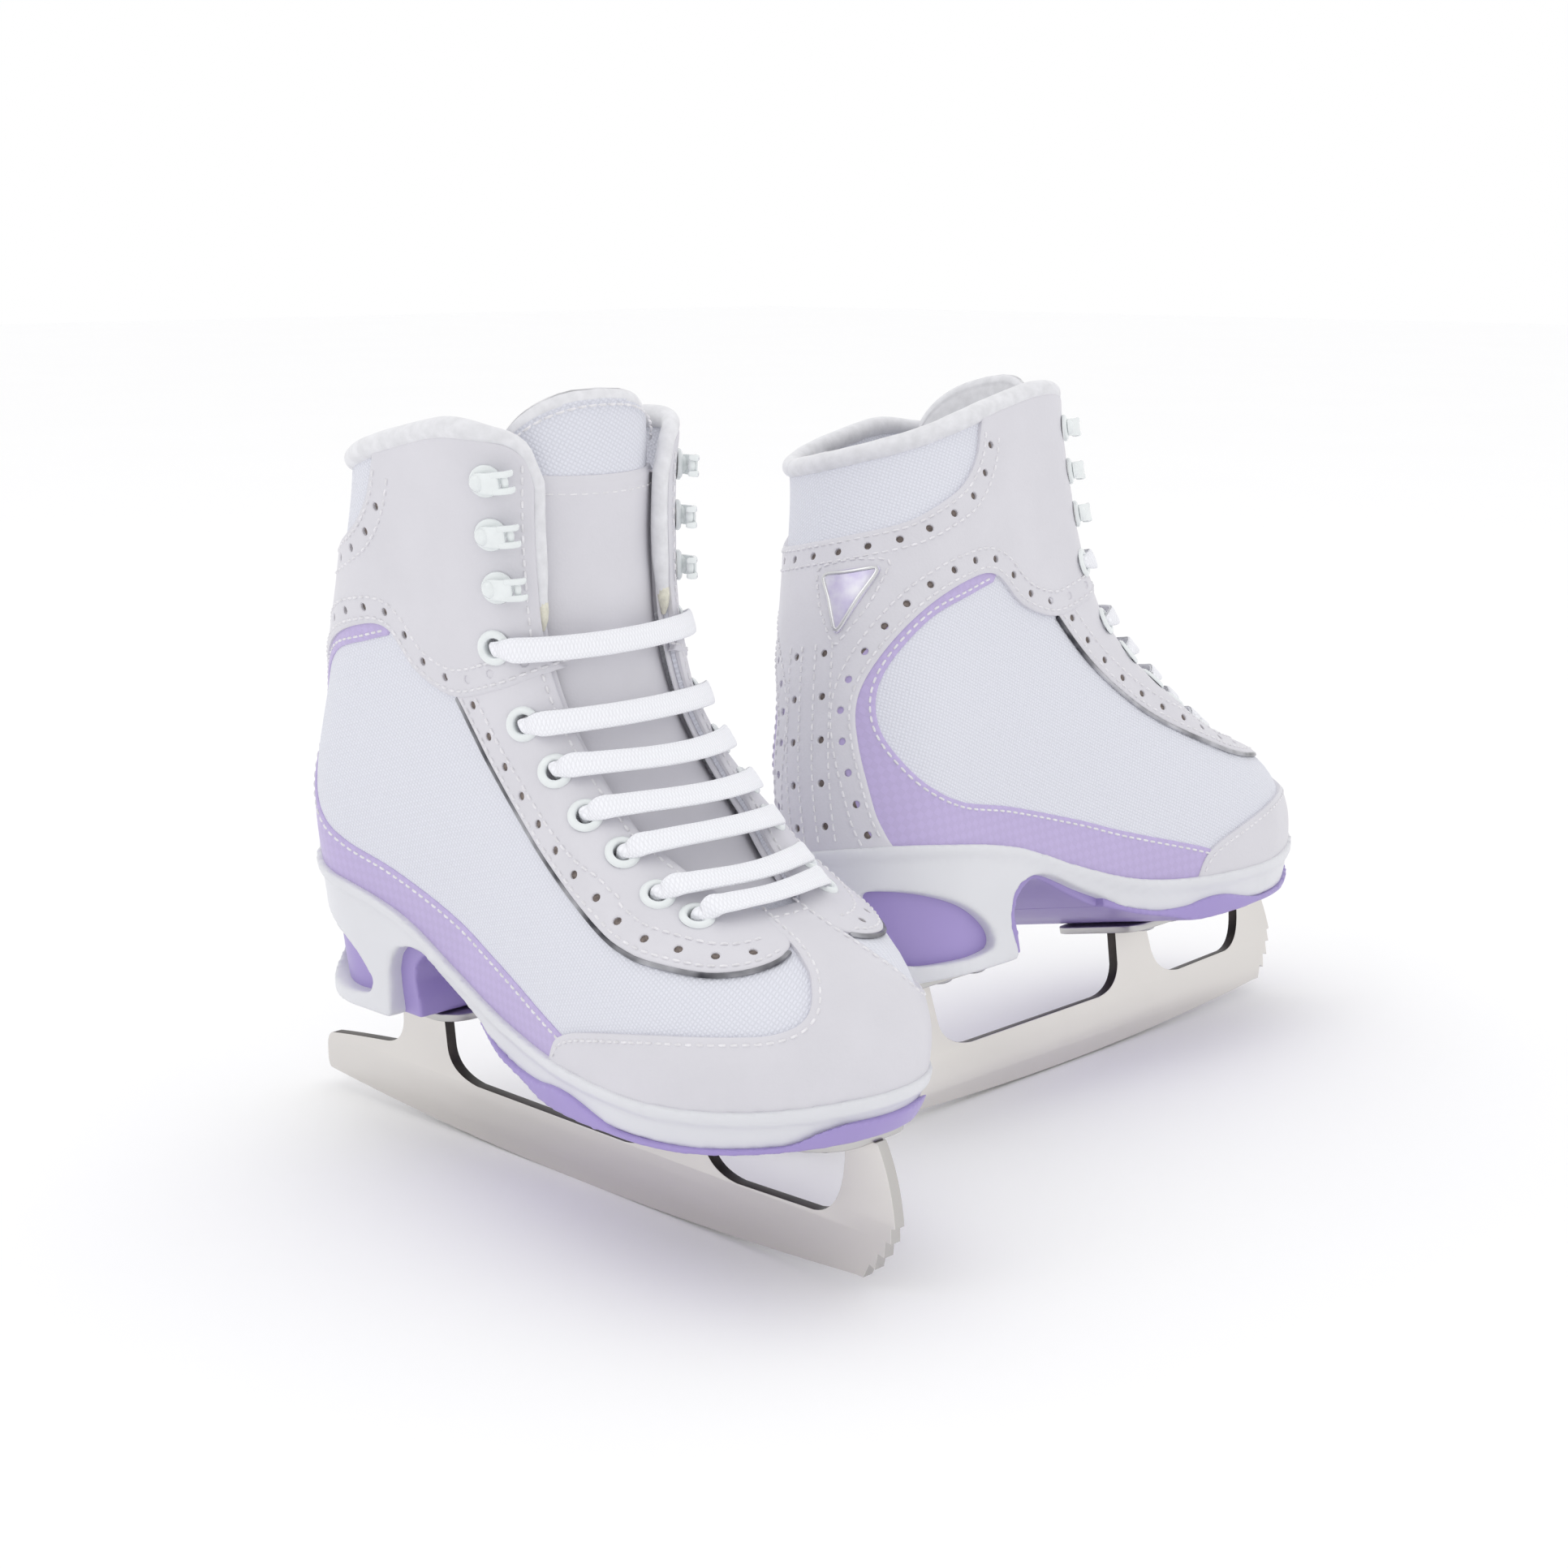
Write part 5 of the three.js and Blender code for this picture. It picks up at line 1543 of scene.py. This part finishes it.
def wall_bulge(x, z):
    """How far the wall stands out: a rim at its top, a hollow below it, a flared foot."""
    below = feather_line(x) - z
    rim = smooth((4.6 - below) / 1.2)
    foot = smooth((60 - z) / 10) * smooth((-60 - x) / 15)
    flare = smooth((below - 9) / 8) * smooth((x + 30) / 30)
    return 1.5 + 1.3 * rim + 1.5 * foot + 0.9 * flare


outsole = last_solid(wall_bulge, SOLE_LOW, 112, 64)
carve(outsole, side_solid(outsole_side), "INTERSECT")
xs = np.linspace(-145, 128, 90)
seat = [(x, float(feather_line(x)) - 0.3) for x in xs] + [(128, 140), (-145, 140)]
carve(outsole, side_solid(seat), "DIFFERENCE")
WINDOW = [(-120, 54.2), (-106, 53), (-96, 53.2), (-89.5, 54.6), (-89, 58.5), (-93, 64),
          (-101, 70), (-112, 75.5), (-122, 79.2), (-129, 80), (-130, 74), (-127, 60)]
WINDOW_FLOOR = 11       # the windows are cut to this distance from the middle
window = flow(WINDOW, 1.5, True)
for side in (1, -1):
    carve(outsole, side_solid(window, side * WINDOW_FLOOR, side * BEYOND), "DIFFERENCE")
outsole_shape = Shape().add(*moulded(outsole, 0.95, 4))
piece("outsole_rubber", outsole_shape, [sole_white], "outsole", sharp=60)

# %% [markdown]
# The heel is hollow at both sides, and a lilac core shows in the openings. Below the
# waist and the ball lies the lilac tread, whose lip waves up over the white wall.

# %% Heel core, shank and tread
CORE = [(-119, 52), (-100, 50.8), (-88, 51), (-85, 54), (-85.5, 60), (-90, 67.5), (-99, 73.5),
        (-112, 79), (-124, 83), (-133, 84), (-134, 70), (-131, 55)]
core = last_solid(-2.4, SOLE_LOW, 88)
carve(core, side_solid(flow(CORE, 1.5, True)), "INTERSECT")
core_shape = Shape().add(*moulded(core, 1.3, 5))
piece("heel_core_rubber", core_shape, [sole_lilac], "heel_core", sharp=60)


def hump(x, a, b):
    """A smooth rise from 0 to 1 and back between two places."""
    return np.sin(np.pi * np.clip((x - a) / (b - a), 0, 1)) ** 2


xs = np.linspace(-32, 123, 90)
lip = 0.8 + 5.4 * hump(xs, -12, 46) + 4.4 * hump(xs, 92, 121)
tread_side = [(x, float(sole_bottom(x)) - TREAD + 0.3) for x in xs]
tread_side += [(x, wall_foot(x) + rise) for x, rise in zip(xs[::-1], lip[::-1])]
tread = last_solid(lambda x, z: -1.0 + 4.1 * smooth((x + 40) / 26), 43.2, 76)
carve(tread, side_solid(tread_side), "INTERSECT")
shank = last_solid(-3.4, SOLE_LOW, 84)
xs = np.linspace(-62, -26, 24)
shank_side = ([(-81, 48.3), (-70.4, 48.3), (-70.8, 54), (-72, 61), (-70.5, 66.5), (-67, 69.6)]
              + [(x, float(sole_bottom(x)) - 1.4 - 1.6 * smooth((x + 60) / 30)) for x in xs]
              + [(x, float(sole_bottom(x)) + 4) for x in xs[::-1]] + [(-70, 78), (-81, 76)])
carve(shank, side_solid(shank_side), "INTERSECT")
tread_shape = Shape()
for body in (tread, shank):
    tread_shape.add(*moulded(body, 0.8, 3))
piece("tread_rubber", tread_shape, [sole_lilac], "tread", sharp=60)

# %% [markdown]
# Inside, the foot rests on a fleece-topped footbed, which is a slab between the two
# walls of the last. The board under it keeps its CAD shape and only gets its finish.

# %% Footbed and board
def floor_rows(lift, shrink, count=70, columns=15):
    turns = np.linspace(0.03, 0.97, count)
    rows = []
    for sign in (1, -1):
        flat = along_line(sign * turns, lambda x: feather_line(x) + lift)
        rows.append(on_boot(flat, shrink))
    t = np.linspace(0, 1, columns)[None, :, None]
    return rows[0][:, None] * (1 - t) + rows[1][:, None] * t


FOOTBED_TOP, FOOTBED_UNDER, FOOTBED_IN, DISH = 5.6, 2.4, -5.1, 1.2
top = floor_rows(FOOTBED_TOP, FOOTBED_IN)
top[..., 2] -= DISH * (1 - np.linspace(-1, 1, top.shape[1]) ** 2)
footbed = Shape().add(*slab(top, floor_rows(FOOTBED_UNDER, FOOTBED_IN)))
piece("footbed_fleece", footbed, [fleece], "footbed")
for side in ("left", "right"):
    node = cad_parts[f"{side}_insole_board"]
    node.data.materials.clear()
    node.data.materials.append(board)

# %% [markdown]
# ## Steel
# The runner is stamped from 4 mm plate. Its outline is drawn with straight runs and
# quadratic bends, and a filled 2-D curve gives it thickness and slightly eased edges.

# %% Runner
def bend(p, q, r, count=10):
    t = np.linspace(0, 1, count + 1)[1:, None]
    p, q, r = np.array(p, float), np.array(q, float), np.array(r, float)
    return [tuple(v) for v in (1 - t) ** 2 * p + 2 * t * (1 - t) * q + t * t * r]


ROCKER_RADIUS, ROCKER_LOW = 1500, -25      # the bottom's curve, and where it touches the ice


def rocker(x):
    return ROCKER_RADIUS - math.sqrt(ROCKER_RADIUS ** 2 - (x - ROCKER_LOW) ** 2)


def spring(x):
    """How far the sole lifts towards the toe."""
    return np.maximum(0, sole_bottom(np.maximum(x, 40)) - sole_bottom(40.0)) * 0.85


SILL, TOE_Z, HEEL_Z = 18.6, 41.0, 45.2
PICKS = [(96.2, 4.6), (98.5, 9.2), (100.6, 8.2), (101.6, 13.2), (104, 12.6), (104.4, 17.6),
         (106.6, 17.4), (106.4, 21.8), (108, 22.2)]
runner = [(x, rocker(x)) for x in np.linspace(-156, 93, 50)] + PICKS
runner += bend((108, 22.2), (106.8, 35), (101, TOE_Z + spring(101)), 14) + [(89, TOE_Z + spring(89))]
runner += bend((89, TOE_Z + spring(89)), (89.6, 21), (77, SILL + 0.8), 14) + [(46, SILL)]
runner += bend((46, SILL), (33.5, SILL + 1), (31.5, 29), 12) + [(30, TOE_Z), (12, TOE_Z)]
runner += [(10.5, 28)] + bend((10.5, 28), (8, SILL + 0.8), (-3, SILL), 12) + [(-75, SILL)]
runner += bend((-75, SILL), (-89, SILL + 1.5), (-90, 29), 12)
runner += [(-92, HEEL_Z), (-113, HEEL_Z), (-113.5, 32)]
runner += bend((-113.5, 32), (-114.5, 24), (-124, 23), 10)
runner += bend((-124, 23), (-145, 20.5), (-154, 19), 4)
runner += bend((-154, 19), (-158, 18.6), (-158, 13), 8)
runner += bend((-158, 13), (-158.3, 6), (-156, rocker(-156)), 6)[:-1]


def stamped(outline, half, ease):
    """A flat outline as a plate with eased edges: points (u, v, w) and faces."""
    curve = bpy.data.curves.new("plate", "CURVE")
    curve.dimensions, curve.fill_mode = "2D", "BOTH"
    curve.extrude, curve.offset = half - ease, -ease
    curve.bevel_depth, curve.bevel_resolution = ease, 2
    line = curve.splines.new("POLY")
    line.points.add(len(outline) - 1)
    for point, (u, v) in zip(line.points, outline):
        point.co = (u, v, 0, 1)
    line.use_cyclic_u = True
    thing = bpy.data.objects.new("plate", curve)
    bpy.context.scene.collection.objects.link(thing)
    mesh = applied(thing)
    outward(mesh, merge=0.01)
    bpy.data.objects.remove(thing)
    return read(mesh)


points, faces = stamped(runner, BLADE_THICKNESS / 2, 0.22)
points = points[:, [0, 2, 1]]
faces = [f[::-1] for f in faces]


def face_kind(face):
    """0 the flat sides, 1 the dark window faces, 2 the ground nose and bottom."""
    p = points[list(face)]
    normal = unit(np.cross(p[1] - p[0], p[2] - p[0]))
    if abs(normal[1]) > 0.4:
        return 0
    x, z = p[:, 0].mean(), p[:, 2].mean()
    return 2 if z < rocker(x) + 1.5 or x > 94 or (x < -150 and z < 17) else 1


blade = Shape().add(points, faces, None, [face_kind(f) for f in faces])
piece("runner_steel", blade, [steel, burnt, edge_steel], "blade", sharp=30)

# %% [markdown]
# Two plates join the runner to the sole. They are held by pan-head screws with a cross
# recess. The recess is cut once and the screw is copied to all its places.

# %% Plates and screws
def plate_outline(x0, x1, half, nose):
    """A plate with a broad round nose at x1 and two small round corners at x0."""
    flat, small = half * 0.35, 8
    line = [(x0 + small, -half), (x1 - nose, -half)]
    line += bend((x1 - nose, -half), (x1, -half), (x1, -flat)) + [(x1, flat)]
    line += bend((x1, flat), (x1, half), (x1 - nose, half)) + [(x0 + small, half)]
    line += bend((x0 + small, half), (x0, half), (x0, half - small)) + [(x0, small - half)]
    line = np.array(line + bend((x0, small - half), (x0, -half), (x0 + small, -half)))
    return np.vstack([resample(pair, 5)[:-1] for pair in zip(line[:-1], line[1:])])


PLATE_HALF = 1.25       # half of a plate's thickness
PLATES = {"toe_plate": ((2, 100, 19.5, 30), TOE_Z), "heel_plate": ((-124, -66, 19, 10), HEEL_Z)}
for name, (outline, z) in PLATES.items():
    points, faces = stamped(plate_outline(*outline), PLATE_HALF, 0.35)
    points = points + [0, 0, z + PLATE_HALF]
    if name == "toe_plate":
        points[:, 2] += spring(points[:, 0])
    shape = Shape().add(points, faces, points[:, :2] / UV_UNIT)
    piece(f"{name}_steel", shape, [plate_steel], name, sharp=30)

SCREW = [(0.01, -2.0), (1.2, -1.95), (2.4, -1.7), (3.3, -1.25), (3.85, -0.6), (4.0, 0),
         (2.0, 0), (2.0, 8.5), (1.2, 10), (0.01, 10.4)]
SCREW_SINK, SCREW_SIDE = 0.1, 11.5
BOX = [(0, 1, 2, 3), (4, 5, 6, 7), (0, 1, 5, 4), (1, 2, 6, 5), (2, 3, 7, 6), (3, 0, 4, 7)]
screw = loose_object(*spun(SCREW, np.zeros(3), (0, 0, 1), 32))
for half_x, half_y in ((2.0, 0.45), (0.45, 2.0)):
    recess = [(sx * half_x, sy * half_y, z) for z in (-3, -0.7)
              for sx, sy in ((-1, -1), (1, -1), (1, 1), (-1, 1))]
    carve(screw, loose_object(recess, BOX), "DIFFERENCE")
screw_points, screw_faces = read(screw.data)
bpy.data.objects.remove(screw)
for name, x, z in (("toe_screw", 52, TOE_Z), ("heel_screw", -78, HEEL_Z)):
    for side, where in ((1, "outer"), (-1, "inner")):
        shape = Shape().add(screw_points + [x, side * SCREW_SIDE, z - SCREW_SINK], screw_faces)
        piece(f"{name}_{where}_cross", shape, [screw_steel], f"{name}_{where}",
              sharp=30)
more = Shape()
for x, y, z in ((16, 12.5, TOE_Z), (34, 11.5, TOE_Z), (70, 11.5, TOE_Z), (88, 9, TOE_Z),
                (-112, 12, HEEL_Z), (-96, 12, HEEL_Z)):
    for side in (1, -1):
        lift = float(spring(x)) if x > 0 else 0.0
        more.add(screw_points * [1, 1, 0.9] + [x, side * y, z - SCREW_SINK + lift], screw_faces)
piece("more_screws", more, [screw_steel], sharp=30)
print("pieces a side:", len(made))

# %% [markdown]
# ## Stage
# A plain pale floor and soft white light from all round, as in a product studio. One
# large lamp from the front left gives the forms their shading.

# %% Floor and light
floor_mesh = bpy.data.meshes.new("floor")
FLOOR = 8.0             # metres from the middle to each side
floor_mesh.from_pydata([(-FLOOR, -FLOOR, 0), (FLOOR, -FLOOR, 0), (FLOOR, FLOOR, 0),
                        (-FLOOR, FLOOR, 0)], [], [(0, 1, 2, 3)])
floor = bpy.data.objects.new("floor", floor_mesh)
bpy.context.scene.collection.objects.link(floor)
paper = Finish("studio_paper", (0.985, 0.985, 0.99), 0.95)
paper.tint(paper.noise(3, 2), 0.997, 1.003)
floor_mesh.materials.append(paper.done())

world = bpy.data.worlds.new("studio")
bpy.context.scene.world = world
world.use_nodes = True
sky = world.node_tree.nodes["Background"].inputs
sky["Color"].default_value = (1, 1, 1, 1)
sky["Strength"].default_value = 1.0


def lamp(name, place, target, size, watts):
    data = bpy.data.lights.new(name, "AREA")
    data.shape, data.size, data.energy = "DISK", size, watts
    thing = bpy.data.objects.new(name, data)
    thing.location = place
    thing.rotation_euler = (Vector(target) - Vector(place)).to_track_quat("-Z", "Y").to_euler()
    bpy.context.scene.collection.objects.link(thing)


lamp("key", (-0.3, -1.5, 1.5), (0, 0, 0.1), 0.9, 2.0)
lamp("fill", (1.6, 0.3, 0.9), (0, 0, 0.1), 1.2, 0.5)
lamp("top", (-0.2, 0.3, 1.9), (0, 0, 0), 1.4, 1.2)
bpy.context.scene.view_settings.view_transform = "Standard"
print("lamps:", len(bpy.data.lights))
